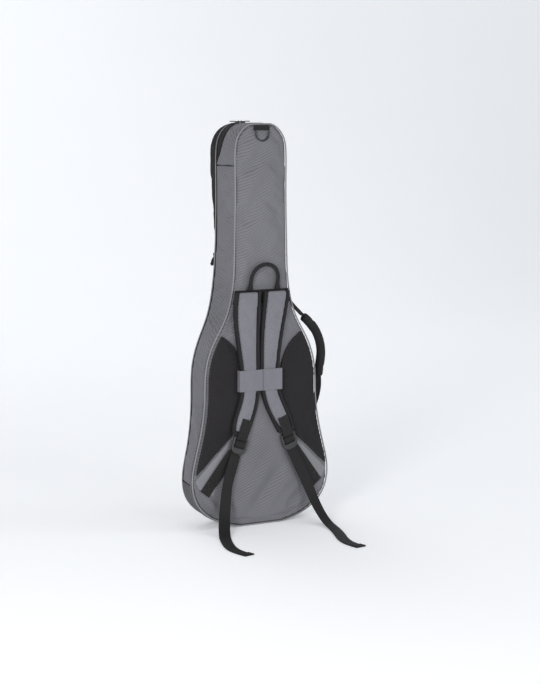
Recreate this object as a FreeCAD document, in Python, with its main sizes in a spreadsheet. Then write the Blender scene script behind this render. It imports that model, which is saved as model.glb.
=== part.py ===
import FreeCAD, Part
import Sketcher
import math
import os

# Padded gig bag for an electric guitar, standing on its base.
# +Z is up, the back panel with the straps faces -Y, the lid faces +Y and the side handle is on +X.
# The origin is the middle of the flat base. All sizes are in millimetres.

V = FreeCAD.Vector
doc = FreeCAD.newDocument("gig_bag")

sizes = {
    "bag_length": 1040,
    "bag_depth": 104,
    "base_flat": 60,
    "crown_flat": 28,
    "wall": 12,
    "skin": 2,
    "bead": 3.8,
    "lid_edge": 6,
    "foam": 11,
    "gap": 0.4,
    "cap_height": 932,
    "bumper_height": 115,
    "zip_width": 12,
    "pad_thick": 5,
    "strap_thick": 12,
    "strap_lift": 7.2,
    "binding": 9,
    "webbing_wide": 30,
    "webbing_thick": 2,
    "strap_top": 612,
    "wrap_low": 356,
    "wrap_tall": 55,
    "wrap_skin": 1.2,
    "buckle_x": 68.5,
    "buckle_z": 236,
    "buckle_tilt": 19,
    "buckle_wide": 44,
    "buckle_tall": 42,
    "buckle_thick": 5,
    "handle_radius": 45,
    "handle_leg": 26,
    "handle_thick": 6,
    "handle_band": 11,
    "handle_lean": 12,
    "loop_radius": 19,
    "loop_bead": 2.4,
    "grip_radius": 12,
    "slider_long": 12,
    "slider_wide": 8,
    "slider_tall": 4,
    "pull_thick": 2.4,
    "pocket_depth": 38,
    "pocket_wall": 3,
    "front_depth": 14,
    "front_wall": 2.5,
}

# Outline stations: height, half width at the back panel, half width at the front panel.
stations = {
    "heel": (19, 127, 116),
    "corner": (71, 190, 170),
    "bout": (125, 204, 179),
    "hip": (200, 191, 166),
    "waist": (331, 167, 153),
    "chest": (420, 162, 149),
    "shoulder": (487, 138, 129),
    "slope": (540, 108, 107),
    "collar": (592, 90, 94),
    "neck": (720, 79, 81),
    "head": (900, 76.5, 78),
    "temple": (968, 76.5, 77),
    "cheek": (998, 72, 72),
    "brow": (1022, 58, 58),
    "top": (1035, 42, 42),
}

for station, values in stations.items():
    for part_name, value in zip(("up", "back", "front"), values):
        sizes[station + "_" + part_name] = value

sheet = doc.addObject("Spreadsheet::Sheet", "sizes")
for row, (alias, value) in enumerate(sizes.items(), 1):
    sheet.set("A%d" % row, alias)
    sheet.set("B%d" % row, str(value))
    sheet.setAlias("B%d" % row, alias)
doc.recompute()


def size(alias):
    return float(getattr(sheet, alias))


bag_length = size("bag_length")
front = size("bag_depth") / 2
back = -front
split = front - size("lid_edge")
wall = size("wall")
bead = size("bead")
gap = size("gap")
web = size("webbing_thick")
seam = 1.5  # the side walls sit this far inside the piping
inner = seam + wall
hair = 0.2  # space between layers that are sewn together
pad_face = back - 0.3 - size("pad_thick")
strap_back = back - size("strap_lift")
strap_face = strap_back - size("strap_thick")

labels = []


def feature(label, shape, placement=None):
    """A sub-part whose outline follows the bag's curves."""
    item = doc.addObject("Part::Feature", label)
    item.Label = label
    item.Shape = shape
    if placement:
        item.Placement = placement
    labels.append(item)
    return item


# ---------------------------------------------------------------- outline

def half_curve(points):
    curve = Part.BSplineCurve()
    curve.interpolate(points)
    return curve


def right_points(y, inset):
    """Points up the right side at depth y, moved inwards by inset."""
    share = (y - back) / (front - back)
    points = [V(size("base_flat"), y, 0)]
    for station in stations:
        at_back = size(station + "_back")
        at_front = size(station + "_front")
        points.append(V(at_back + share * (at_front - at_back), y, size(station + "_up")))
    points.append(V(size("crown_flat"), y, bag_length))
    if not inset:
        return points
    curve = half_curve(points)
    moved = [points[0] + V(0, 0, inset)]
    for point in points[1:-1]:
        along = curve.tangent(curve.parameter(point))[0]
        moved.append(point - V(along.z, 0, -along.x) * inset)
    return moved + [points[-1] - V(0, 0, inset)]


def outline(y, inset=0.0):
    """The closed outline of the bag at depth y."""
    right = right_points(y, inset)
    left = [V(-p.x, p.y, p.z) for p in right]
    right_edge = half_curve(right).toShape()
    left_edge = right_edge.mirror(V(0, y, 0), V(1, 0, 0))
    base_edge = Part.LineSegment(left[0], right[0]).toShape()
    crown_edge = Part.LineSegment(right[-1], left[-1]).toShape()
    return Part.Wire([base_edge, right_edge, crown_edge, left_edge])


def slab(y0, y1, inset=0.0):
    """The bag's own block between two depths."""
    return Part.makeLoft([outline(y0, inset), outline(y1, inset)], True, True)


def ring(y0, y1, outer_inset, inner_inset):
    """A band that follows the outline."""
    return slab(y0, y1, outer_inset).cut(slab(y0 - 1, y1 + 1, inner_inset))


def box(x0, x1, y0, y1, z0, z1):
    return Part.makeBox(x1 - x0, y1 - y0, z1 - z0, V(x0, y0, z0))


def prism_x(points, x0, x1):
    """A closed (y, z) polygon stretched along X."""
    wire = Part.makePolygon([V(x0, y, z) for y, z in points + points[:1]])
    return Part.Face(wire).extrude(V(x1 - x0, 0, 0))


def prism_y(points, y0, y1):
    """A closed (x, z) polygon stretched along Y."""
    wire = Part.makePolygon([V(x, y0, z) for x, z in points + points[:1]])
    return Part.Face(wire).extrude(V(0, y1 - y0, 0))


# ---------------------------------------------------------------- shell

wide = 400
tall = bag_length + 50
cap_low = size("cap_height")
bumper_top = size("bumper_height")
wall_back = back + 4.7
wall_front = split - hair
zip_back = wall_front - size("zip_width")
zip_end = -100  # the main zip stops here on the base
cap_zip = split - 26  # how far back the zip panel reaches over the crown

feature("back_panel", slab(back, back + size("skin"), bead + hair))
feature("back_foam", slab(back + size("skin") + hair, back + size("skin") + size("foam"), inner + 0.3))
lining_back = back + size("skin") + size("foam") + hair
feature("back_lining", slab(lining_back, lining_back + 1.4, inner + 0.3))
feature("back_piping", ring(back + 0.5, back + 0.5 + bead, 0, bead))

side_ring = ring(wall_back, wall_front, seam, inner)
narrow_ring = side_ring.common(box(-wide, wide, back, zip_back - hair, -10, tall))
left_zone = box(-wide, 0, back - 1, front, bumper_top + hair, cap_low)
right_zone = box(0, wide, back - 1, front, bumper_top + hair, cap_low)
feature("gusset_left", side_ring.common(left_zone))
feature("gusset_right", narrow_ring.common(right_zone))

# The zip panel widens from a point at the left seam to a broad band over the crown.
cap_line = [(split + 1, cap_low + hair), (cap_zip, cap_low + 55), (cap_zip, tall), (split + 1, tall)]
cap_zone = box(-wide, wide, back - 1, front, cap_low + hair, tall)
zip_zone = prism_x(cap_line, -wide, wide)
cap_ring = side_ring.common(cap_zone)
feature("crown_cap", cap_ring.cut(zip_zone))
feature("crown_zip_panel", cap_ring.common(zip_zone.translated(V(0, hair, 0))))

zip_ring = ring(zip_back, wall_front, seam, inner)
zip_side = zip_ring.common(box(0, wide, back, front, 0, cap_low))
zip_base = zip_ring.common(box(zip_end, 0, back, front, 0, bumper_top))
feature("side_zip_tape", zip_side.fuse(zip_base).removeSplitter())

bumper = ring(wall_back, wall_front, 0, inner).common(box(-wide, wide, back, front, -1, bumper_top))
zip_cut = box(zip_end - hair, wide, zip_back - hair, front, -2, bumper_top + 1)
feature("base_bumper", bumper.cut(zip_cut))


def mesh_pad(side):
    """A leaf of padded mesh between the outline and a curve that bulges inwards."""
    leaf = [(119, 503), (93, 484), (75, 463), (63, 437), (55, 408), (51, 360), (52, 310), (60, 268)]
    curve = Part.BSplineCurve()
    curve.interpolate([V(side * x, 0, z) for x, z in leaf])
    low = V(side * 260, 0, 82)
    high = V(side * 260, 0, 560)
    edges = [
        curve.toShape(),
        Part.LineSegment(curve.EndPoint, low).toShape(),
        Part.LineSegment(low, high).toShape(),
        Part.LineSegment(high, curve.StartPoint).toShape(),
    ]
    region = Part.Face(Part.Wire(edges)).extrude(V(0, size("pad_thick"), 0))
    region.translate(V(0, pad_face, 0))
    return region.common(slab(pad_face - 1, back, 9))


def anchor_patch(side):
    """The light triangle of fabric that carries the lower end of a strap's webbing."""
    corners = [(side * 196, 132), (side * 88, 236), (side * 143, 88), (side * 186, 112)]
    return prism_y(corners, back - 1.5, back - 0.3)


for side, hand in ((-1, "left"), (1, "right")):
    feature("mesh_pad_" + hand, mesh_pad(side))
    patch = anchor_patch(side).cut(mesh_pad(side)).common(slab(back - 3, back, 6))
    feature("anchor_patch_" + hand, patch)

yoke_zone = box(-wide, wide, back - 2.3, back - 0.3, 580, 616)
feature("yoke_patch", slab(back - 3, back, 6).common(yoke_zone))

# ---------------------------------------------------------------- sketches and bodies

def attach(sketch, body, role, offset=0.0):
    plane = [item for item in body.Origin.OriginFeatures if item.Role == role][0]
    sketch.AttachmentSupport = [(plane, "")]
    sketch.MapMode = "FlatFace"
    sketch.AttachmentOffset = FreeCAD.Placement(V(0, 0, offset), FreeCAD.Rotation())


def new_body(label):
    body = doc.addObject("PartDesign::Body", label)
    body.Label = label
    labels.append(body)
    return body


def polygon_sketch(body, name, points, role="XZ_Plane", offset=0.0):
    """A closed chain of lines, joined end to end."""
    sketch = body.newObject("Sketcher::SketchObject", name)
    attach(sketch, body, role, offset)
    for start, end in zip(points, points[1:] + points[:1]):
        sketch.addGeometry(Part.LineSegment(V(*start, 0), V(*end, 0)), False)
    count = len(points)
    for i in range(count):
        sketch.addConstraint(Sketcher.Constraint("Coincident", i, 2, (i + 1) % count, 1))
    return sketch


def rectangle_sketch(body, name, low, wide_by, tall_by, role="XZ_Plane", offset=0.0):
    """A rectangle whose width and height are bound to cells of the sheet."""
    x, y = low
    corners = [(x, y), (x + 10, y), (x + 10, y + 10), (x, y + 10)]
    sketch = polygon_sketch(body, name, corners, role, offset)
    for i, kind in enumerate(("Horizontal", "Vertical", "Horizontal", "Vertical")):
        sketch.addConstraint(Sketcher.Constraint(kind, i))
    sketch.addConstraint(Sketcher.Constraint("DistanceX", -1, 1, 0, 1, x))
    sketch.addConstraint(Sketcher.Constraint("DistanceY", -1, 1, 0, 1, y))
    for kind, line, name_of, rule in (("DistanceX", 0, "wide", wide_by), ("DistanceY", 1, "tall", tall_by)):
        index = sketch.addConstraint(Sketcher.Constraint(kind, line, 1, line, 2, 10.0))
        sketch.renameConstraint(index, name_of)
        sketch.setExpression("Constraints." + name_of, rule)
    return sketch


def pad(body, sketch, length_by, midplane=False):
    item = body.newObject("PartDesign::Pad", sketch.Name + "_pad")
    item.Profile = sketch
    item.Midplane = midplane
    item.setExpression("Length", length_by)
    sketch.Visibility = False
    return item


def pocket(body, sketch, length_by):
    """A cut that runs both ways from the sketch, so its direction can't miss the solid."""
    item = body.newObject("PartDesign::Pocket", sketch.Name + "_pocket")
    item.Profile = sketch
    item.Midplane = True
    item.setExpression("Length", length_by)
    return item


def tilted(side):
    """Where a buckle hangs: its own Z runs up the strap's lower end."""
    turn = FreeCAD.Rotation(V(0, 1, 0), side * -size("buckle_tilt"))
    return FreeCAD.Placement(V(side * size("buckle_x"), strap_back - 8.8, size("buckle_z")), turn)


# ---------------------------------------------------------------- straps

def strap_sides(side, inset=0.0):
    """Outer and inner edge of a strap as (x, z) points from the top down."""
    if side < 0:
        outer = [(-83, 612), (-85, 513), (-70, 411), (-69, 360), (-78, 318), (-92, 276), (-93, 245)]
        near = [(-8, 612), (-14, 513), (-14, 411), (-14, 360), (-20, 318), (-34, 276), (-48, 240)]
    else:
        outer = [(76, 612), (58, 513), (44, 411), (46, 360), (62, 318), (82, 276), (90, 245)]
        near = [(2, 612), (-9, 513), (-12, 411), (-9, 360), (2, 318), (23, 276), (43, 240)]
    trim = inset * side
    outer = [(x - trim, z) for x, z in outer]
    near = [(x + trim, z) for x, z in near]
    return outer, near


def strap_block(side, inset=0.0):
    outer, near = strap_sides(side, inset)
    ends = (inset, inset)
    outer[0] = (outer[0][0], outer[0][1] - ends[0])
    near[0] = (near[0][0], near[0][1] - ends[0])
    outer[-1] = (outer[-1][0], outer[-1][1] + ends[1])
    near[-1] = (near[-1][0], near[-1][1] + ends[1])
    curves = []
    for points in (outer, near):
        curve = Part.BSplineCurve()
        curve.interpolate([V(x, strap_face, z) for x, z in points])
        curves.append(curve)
    edges = [
        curves[0].toShape(),
        Part.LineSegment(curves[0].EndPoint, curves[1].EndPoint).toShape(),
        curves[1].toShape(),
        Part.LineSegment(curves[1].StartPoint, curves[0].StartPoint).toShape(),
    ]
    face = Part.Face(Part.Wire(edges))
    return face.extrude(V(0, size("strap_thick"), 0))


for side, hand in ((-1, "left"), (1, "right")):
    core = strap_block(side, size("binding"))
    feature("strap_" + hand, core)
    feature("strap_binding_" + hand, strap_block(side).cut(strap_block(side, size("binding") - hair)))

# The wrap: a C of fabric round both straps, closed by the flap.
wrap_left = -73
wrap_right = 49
skin = size("wrap_skin")
wrap_in = strap_face - 0.3
wrap_out = wrap_in - skin
wrap_path = [
    (wrap_right, strap_back + hair),
    (wrap_right, wrap_in),
    (20, wrap_in),
    (20, wrap_out),
    (wrap_right + skin, wrap_out),
    (wrap_right + skin, strap_back + hair + skin),
    (wrap_left - skin, strap_back + hair + skin),
    (wrap_left - skin, wrap_out),
    (18, wrap_out),
    (18, wrap_in),
    (wrap_left, wrap_in),
    (wrap_left, strap_back + hair),
]
wrap = new_body("strap_wrap")
wrap_sketch = polygon_sketch(wrap, "wrap_section", wrap_path, "XY_Plane", size("wrap_low"))
wrap_sketch.setExpression("AttachmentOffset.Base.z", "sizes.wrap_low")
pad(wrap, wrap_sketch, "sizes.wrap_tall")

flap = new_body("wrap_flap")
flap_path = [(-6, wrap_out - gap), (-6, wrap_out - gap - skin),
             (50, wrap_out - gap - skin), (50, wrap_out - gap)]
flap_sketch = polygon_sketch(flap, "flap_section", flap_path, "XY_Plane", size("wrap_low"))
flap_sketch.setExpression("AttachmentOffset.Base.z", "sizes.wrap_low")
pad(flap, flap_sketch, "sizes.wrap_tall")


def strap_tab(side, hand):
    """Webbing that is sewn to the strap's face and folded round the buckle's top bar."""
    body = new_body("strap_tab_" + hand)
    near = 4.2
    fold = -5
    bent = [
        (-near, 50),
        (-near - web, 50),
        (-near - web, fold - web),
        (near + web, fold - web),
        (near + web, 2.6),
        (near, 2.6),
        (near, fold),
        (-near, fold),
    ]
    sketch = polygon_sketch(body, "tab_section_" + hand, bent, "YZ_Plane")
    pad(body, sketch, "sizes.webbing_wide", True)
    body.Placement = tilted(side)


def buckle(side, hand):
    """A ladder-lock buckle: a frame with a round top bar, a middle bar and a rounded lip."""
    body = new_body("buckle_" + hand)
    w = size("buckle_wide") / 2
    low = -size("buckle_tall")
    frame = [(7 - w, 2.2), (w - 7, 2.2), (w, -2), (w, low + 13), (w - 4, low + 5), (w - 12, low), (12 - w, low),
             (4 - w, low + 5), (-w, low + 13), (-w, -2)]
    plate = polygon_sketch(body, "plate_" + hand, frame)
    pad(body, plate, "sizes.buckle_thick", True)
    upper = rectangle_sketch(body, "upper_slot_" + hand, (-16, -12.5), "sizes.webbing_wide + 2", "9.7")
    pocket(body, upper, "sizes.buckle_thick * 3")
    lower = rectangle_sketch(body, "lower_slot_" + hand, (-16, -27), "sizes.webbing_wide + 2", "8")
    pocket(body, lower, "sizes.buckle_thick * 3")
    body.Placement = tilted(side)


for side, hand in ((-1, "left"), (1, "right")):
    strap_tab(side, hand)
    buckle(side, hand)

# ---------------------------------------------------------------- webbing that hangs free

def frame_at(point, along, across):
    """The corners of a flat section of webbing at one point of its route."""
    along = V(along).normalize()
    across = (across - along * across.dot(along)).normalize()
    through = along.cross(across)
    a = across * (size("webbing_wide") / 2)
    b = through * (web / 2)
    return Part.makePolygon([point + a + b, point - a + b, point - a - b, point + a - b, point + a + b])


def rounded_route(points):
    """Straight runs joined by tangent arcs, as (point, direction) pairs, with the arcs' radii."""
    places = [(points[0], (points[1] - points[0]).normalize())]
    radii = []
    for before, here, after in zip(points, points[1:], points[2:]):
        come = (here - before).normalize()
        leave = (after - here).normalize()
        turn = math.acos(max(-1, min(1, come.dot(leave))))
        run = min((here - before).Length, (after - here).Length)
        reach = 0.45 * run
        radii.append(reach / math.tan(turn / 2))
        start = here - come * reach
        end = here + leave * reach
        bow = (leave - come).normalize()
        centre = here + bow * (reach / math.sin(turn / 2))
        middle = centre - bow * radii[-1]
        arc = Part.Arc(start, middle, end)
        steps = max(2, int(math.degrees(turn) / 8) + 1)
        for i in range(steps + 1):
            share = i / steps
            value = arc.FirstParameter + share * (arc.LastParameter - arc.FirstParameter)
            places.append((arc.value(value), come * (1 - share) + leave * share))
    places.append((points[-1], (points[-1] - points[-2]).normalize()))
    return places, radii


def tail(hand, points, across_top, across_floor, turn_from):
    """A strap's free end: flat webbing that hangs from the buckle and lies out on the floor."""
    places, radii = rounded_route(points)
    sections = []
    for point, along in places:
        share = max(0.0, min(1.0, (turn_from - point.z) / turn_from))
        sections.append(frame_at(point, along, across_top * (1 - share) + across_floor * share))
    solid = Part.makeLoft(sections, True, True)
    length = sum((b[0] - a[0]).Length for a, b in zip(places, places[1:]))
    wanted = length * size("webbing_wide") * web
    print("tail_%s length %.0f, radii %s" % (hand, length, [round(r) for r in radii]))
    print("tail_%s volume %.0f, section times length %.0f" % (hand, solid.Volume, wanted))
    feature("tail_" + hand, solid)


tail_left = [
    V(-84, -78, 196),
    V(-99, -77, 160),
    V(-112, -73, 120),
    V(-119, -74, 73),
    V(-135.5, -97, 27.5),
    V(-157.5, -138.5, 1.4),
    V(-181, -191.5, 1.4),
    V(-202, -247, 1.4),
    V(-210, -299, 1.4),
    V(-200, -342, 1.4),
]
tail_right = [
    V(84, -78, 196),
    V(99, -77, 160),
    V(117, -73.5, 122.5),
    V(134.5, -78, 77),
    V(142.5, -103, 35.5),
    V(142.5, -147, 7),
    V(133, -200, 1.4),
    V(112, -255.5, 1.4),
    V(88, -310, 1.4),
    V(76, -364, 1.4),
    V(82.5, -404, 1.4),
]
tail("left", tail_left, V(0.94, 0, -0.34), V(0.93, -0.36, 0), 110)
tail("right", tail_right, V(0.94, 0, 0.34), V(0.95, 0.3, 0), 110)


def lower_webbing(side):
    """Flat webbing from its anchor on the back panel up to the buckle's lower slot."""
    low = V(side * 168, back - 2.9, 98)
    high = V(side * 94, strap_back - 1.5, 194)
    across = V(side * 0.79, 0, 0.61)
    return Part.makeLoft([frame_at(low, high - low, across), frame_at(high, high - low, across)], True, True)


for side, hand in ((-1, "left"), (1, "right")):
    feature("lower_webbing_" + hand, lower_webbing(side))

# ---------------------------------------------------------------- loops and handles

def half_hoop(body, name, outer_radius, band, leg, role="XZ_Plane"):
    """An arch of one flat band: a half ring on two straight legs."""
    sketch = body.newObject("Sketcher::SketchObject", name)
    attach(sketch, body, role)
    r = outer_radius
    q = outer_radius - band
    lines = [((r, 0), (r, leg)), ((-r, leg), (-r, 0)), ((-r, 0), (-q, 0)), ((-q, 0), (-q, leg)),
             ((q, leg), (q, 0)), ((q, 0), (r, 0))]
    for start, end in lines:
        sketch.addGeometry(Part.LineSegment(V(*start, 0), V(*end, 0)), False)
    centre = V(0, leg, 0)
    axis = V(0, 0, 1)
    sketch.addGeometry(Part.ArcOfCircle(Part.Circle(centre, axis, r), 0, math.pi), False)
    sketch.addGeometry(Part.ArcOfCircle(Part.Circle(centre, axis, q), 0, math.pi), False)
    for a, b in (((0, 2), (6, 1)), ((6, 2), (1, 1)), ((1, 2), (2, 1)), ((2, 2), (3, 1)), ((3, 2), (7, 2)),
                 ((7, 1), (4, 1)), ((4, 2), (5, 1)), ((5, 2), (0, 1))):
        sketch.addConstraint(Sketcher.Constraint("Coincident", *a, *b))
    return sketch


grab = new_body("grab_handle")
grab_sketch = half_hoop(grab, "grab_arch", size("handle_radius"), size("handle_band"), size("handle_leg"))
pad(grab, grab_sketch, "sizes.handle_thick", True)
grab_y = back - 7
grab.Placement = FreeCAD.Placement(V(3, grab_y, 618), FreeCAD.Rotation(V(1, 0, 0), size("handle_lean")))

loop_z = 1021
loop_y = back - 7
loop_radius = size("loop_radius")
loop_bead = size("loop_bead")
hoop = Part.makeTorus(loop_radius, loop_bead, V(0, 0, -6), V(0, 1, 0)).common(box(-40, 40, -9, 9, -60, -6))
for x in (-loop_radius, loop_radius):
    hoop = hoop.fuse(Part.makeCylinder(loop_bead, 6, V(x, 0, -6)))
feature("hang_loop", hoop, FreeCAD.Placement(V(0, loop_y, loop_z), FreeCAD.Rotation()))

tab = doc.addObject("Part::Box", "hang_loop_tab")
tab.Label = "hang_loop_tab"
tab.setExpression("Length", "sizes.loop_radius * 2 + 8")
tab.setExpression("Width", "sizes.skin * 1.8")
tab.Height = 13
tab.Placement = FreeCAD.Placement(V(-loop_radius - 4, back - 0.3 - 3.6, 1022), FreeCAD.Rotation())
labels.append(tab)


def ribbon(points, y0, y1):
    """A thin band of webbing bent in the XZ plane."""
    sides = ([], [])
    for i, (x, z) in enumerate(points):
        before = points[max(0, i - 1)]
        after = points[min(len(points) - 1, i + 1)]
        run = V(after[0] - before[0], after[1] - before[1], 0).normalize()
        sides[0].append((x + run.y * web / 2, z - run.x * web / 2))
        sides[1].append((x - run.y * web / 2, z + run.x * web / 2))
    return prism_y(sides[0] + sides[1][::-1], y0, y1)


handle_y = -8
band_low = handle_y - size("webbing_wide") / 2 + 1
band_high = handle_y + size("webbing_wide") / 2 - 1
for label, low, high in (("side_handle_patch_upper", 572, 614), ("side_handle_patch_lower", 244, 300)):
    patch_zone = box(0, wide, band_low, band_high, low, high)
    feature(label, ring(band_low, band_high, -1.2, seam - 0.6).common(patch_zone))
upper_run = [(103, 583), (118, 567), (135, 551), (150, 537)]
feature("side_handle_webbing_upper", ribbon(upper_run, band_low, band_high))
lower_run = [(200, 370), (200, 345), (194, 317), (184, 292)]
feature("side_handle_webbing_lower", ribbon(lower_run, band_low, band_high))

grip_points = [V(152, handle_y, 533), V(178, handle_y, 508), V(196, handle_y, 478), V(205, handle_y, 445),
               V(204, handle_y, 408), V(199, handle_y, 372)]
grip_curve = Part.BSplineCurve()
grip_curve.interpolate(grip_points)
grip_path = Part.Wire(grip_curve.toShape())
grip_end = Part.Wire(Part.makeCircle(size("grip_radius"), grip_points[0], grip_curve.tangent(0)[0]))
feature("side_handle_grip", grip_path.makePipeShell([grip_end], True, False))

# ---------------------------------------------------------------- inside

cradle = doc.addObject("Part::Box", "cradle_block")
cradle.Length = 116
cradle.Width = 30
cradle.Height = 90
cradle.Placement = FreeCAD.Placement(V(-58, lining_back + 1.6, 640), FreeCAD.Rotation())
channel = doc.addObject("Part::Cylinder", "cradle_channel")
channel.Radius = 32
channel.Height = 100
channel.Placement = FreeCAD.Placement(V(0, lining_back + 43, 635), FreeCAD.Rotation())
neck_cradle = doc.addObject("Part::Cut", "neck_cradle")
neck_cradle.Label = "neck_cradle"
neck_cradle.Base = cradle
neck_cradle.Tool = channel
labels.append(neck_cradle)

pin_block = doc.addObject("Part::Box", "pin_block_body")
pin_block.Length = 110
pin_block.Width = 62
pin_block.Height = 26
pin_block.Placement = FreeCAD.Placement(V(-55, -33, inner + 1.2), FreeCAD.Rotation())
pin_hole = doc.addObject("Part::Cylinder", "pin_hole")
pin_hole.Radius = 14
pin_hole.Height = 40
pin_hole.Placement = FreeCAD.Placement(V(0, -2, inner + 12), FreeCAD.Rotation())
end_block = doc.addObject("Part::Cut", "end_pin_block")
end_block.Label = "end_pin_block"
end_block.Base = pin_block
end_block.Tool = pin_hole
labels.append(end_block)

head_pad = doc.addObject("Part::Box", "headstock_pad")
head_pad.Label = "headstock_pad"
head_pad.Length = 60
head_pad.Width = 66
head_pad.setExpression("Height", "sizes.foam")
head_pad.Placement = FreeCAD.Placement(V(-30, -35, bag_length - inner - 13.5), FreeCAD.Rotation())
labels.append(head_pad)

# ---------------------------------------------------------------- lid

lid_inset = inner + 1.7
feature("front_panel", slab(front - size("skin"), front, bead + hair))
feature("front_foam", slab(split - 7.2, front - size("skin") - hair, lid_inset))
feature("front_lining", slab(split - 8.8, split - 7.4, lid_inset))
feature("front_piping", ring(front - 4.5, front - 4.5 + bead, 0, bead))
feature("lid_edge_tape", ring(split + hair, split + 1.3, 1, lid_inset - 0.4))


def pouch(profile, inset, skin_thick, slot_low, slot_half):
    """A pocket sewn on the front panel: an open-backed shell with a slot for its zip."""
    face = Part.Face(outline(front, inset))
    core_face = Part.Face(outline(front, inset + skin_thick))
    outer = face.extrude(V(0, 80, 0)).common(prism_x(profile, -wide, wide))
    middle_z = sum(z for _, z in profile) / len(profile)
    shrunk = []
    for y, z in profile:
        new_z = z - skin_thick if z > middle_z else z + skin_thick
        new_y = y - skin_thick if y > front + 2 * skin_thick else front
        shrunk.append((new_y, new_z))
    hollow = core_face.extrude(V(0, 80, 0)).common(prism_x(shrunk, -wide, wide))
    slot_high = slot_low + size("slider_wide")
    slot = box(-slot_half, slot_half, front + 2 * skin_thick, front + 80, slot_low, slot_high)
    return outer.cut(hollow).cut(slot)


y0 = front + hair
deep = front + size("pocket_depth")
head_profile = [(y0, 738), (y0 + 3, 736), (y0 + 14, 790), (deep, 905), (deep, 985), (deep - 9, 1020),
                (deep - 22, 1035), (y0, 1037)]
feature("headstock_pocket", pouch(head_profile, 2.5, size("pocket_wall"), 940, 54))
feature("headstock_zip", box(-53.6, 53.6, deep - 2.4, deep - 0.9, 940.3, 947.7))

low_deep = front + size("front_depth")
front_profile = [(y0, 30), (y0 + 6, 32), (low_deep, 52), (low_deep, 708), (low_deep - 3, 714), (y0, 716)]
feature("front_pocket", pouch(front_profile, 4, size("front_wall"), 696, 74.5))
feature("front_zip", box(-74.1, 74.1, low_deep - 2.2, low_deep - 0.9, 696.3, 703.7))

# ---------------------------------------------------------------- zip sliders and pulls

def slider(label, placement):
    """A zip slider: a rounded body with a bridge on its back that holds the pull."""
    body = new_body(label)
    base = rectangle_sketch(body, label + "_base", (-6, -4), "sizes.slider_long", "sizes.slider_wide", "XY_Plane")
    pad(body, base, "sizes.slider_tall")
    bridge = rectangle_sketch(body, label + "_bridge", (-6, -1.2), "sizes.slider_long / 3", "2.4", "XY_Plane",
                              size("slider_tall") - 0.5)
    pad(body, bridge, "1.7")
    body.Placement = placement


def pull(label, long, half, placement):
    """A zip pull: a flat tongue with a rounded end, along +X from its pivot."""
    body = new_body(label)
    tongue = [(0, -3), (long * 0.3, -half), (long * 0.85, -half), (long, -1.5), (long, 1.5), (long * 0.85, half),
              (long * 0.3, half), (0, 3)]
    sketch = polygon_sketch(body, label + "_tongue", tongue, "XY_Plane")
    pad(body, sketch, "sizes.pull_thick")
    body.Placement = placement


upright = FreeCAD.Rotation()
crown_y = split - 5
crown_z = bag_length + 0.3
for side, hand, x in ((-1, "left", -18), (1, "right", -2)):
    turn = FreeCAD.Rotation(V(0, 0, 1), 0 if side > 0 else 180)
    slider("main_slider_" + hand, FreeCAD.Placement(V(x, crown_y, crown_z), turn))
    pull("main_pull_" + hand, 14, 4.2, FreeCAD.Placement(V(x + side * 7.6, crown_y, crown_z + 2.2), turn))

# Local +X points down and local +Z points out of the front on the two pocket sliders.
# The lower pocket bulges, so its pull rests leaning outwards.
pocket_turn = FreeCAD.Rotation(V(1, 0, 0), -90)
small_sliders = (("pocket", -68, low_deep, 700, 30, 6, 32), ("headstock", 46, deep, 944, 24, 4.2, 0))
for label, x, y, z, long, half, lean in small_sliders:
    s, c = math.sin(math.radians(lean)), math.cos(math.radians(lean))
    facing = FreeCAD.Rotation(V(0, s, -c), V(1, 0, 0), V(0, c, s), "XZY")
    slider(label + "_slider", FreeCAD.Placement(V(x, y + 0.3, z), pocket_turn))
    pull(label + "_pull", long, half, FreeCAD.Placement(V(x, y + 5, z - 6), facing))

# ---------------------------------------------------------------- checks and export

doc.recompute()
for item in doc.Objects:
    if "Invalid" in item.State or "Error" in item.State:
        raise RuntimeError("%s is %s" % (item.Label, item.State))

os.makedirs("parts", exist_ok=True)
for item in labels:
    shape = item.Shape
    if shape.isNull() or not shape.isValid() or not shape.Solids:
        raise RuntimeError("%s has no valid solid" % item.Label)
    shape.exportStep("parts/%s.step" % item.Label)
    bounds = shape.BoundBox
    print("%-28s %d %8.0f mm3  x %.0f %.0f  y %.1f %.1f  z %.1f %.1f" % (
        item.Label, len(shape.Solids), shape.Volume, bounds.XMin, bounds.XMax,
        bounds.YMin, bounds.YMax, bounds.ZMin, bounds.ZMax))
print(len(labels), "sub-parts")
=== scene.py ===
import math

import bmesh
import bpy
import numpy as np
from mathutils import Matrix, Vector, noise
from mathutils.bvhtree import BVHTree


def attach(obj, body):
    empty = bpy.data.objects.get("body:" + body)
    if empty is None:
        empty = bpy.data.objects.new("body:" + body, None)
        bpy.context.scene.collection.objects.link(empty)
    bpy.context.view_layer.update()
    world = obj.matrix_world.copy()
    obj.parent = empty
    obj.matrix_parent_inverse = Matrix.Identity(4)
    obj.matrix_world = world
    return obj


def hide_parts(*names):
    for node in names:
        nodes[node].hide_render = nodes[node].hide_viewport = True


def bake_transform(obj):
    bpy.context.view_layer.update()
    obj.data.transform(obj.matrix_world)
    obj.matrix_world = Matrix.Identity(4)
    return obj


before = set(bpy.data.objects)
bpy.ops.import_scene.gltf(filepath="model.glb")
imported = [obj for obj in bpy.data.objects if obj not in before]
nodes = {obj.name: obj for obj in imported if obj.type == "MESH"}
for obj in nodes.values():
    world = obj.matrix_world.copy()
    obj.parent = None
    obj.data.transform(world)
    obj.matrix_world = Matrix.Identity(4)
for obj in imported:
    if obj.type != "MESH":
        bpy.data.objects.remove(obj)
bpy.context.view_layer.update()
scene = bpy.context.scene
print("frame loaded")


def deselectAll():
    if bpy.context.object and bpy.context.object.mode != "OBJECT":
        bpy.ops.object.mode_set(mode="OBJECT")
    bpy.ops.object.select_all(action="DESELECT")


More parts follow.
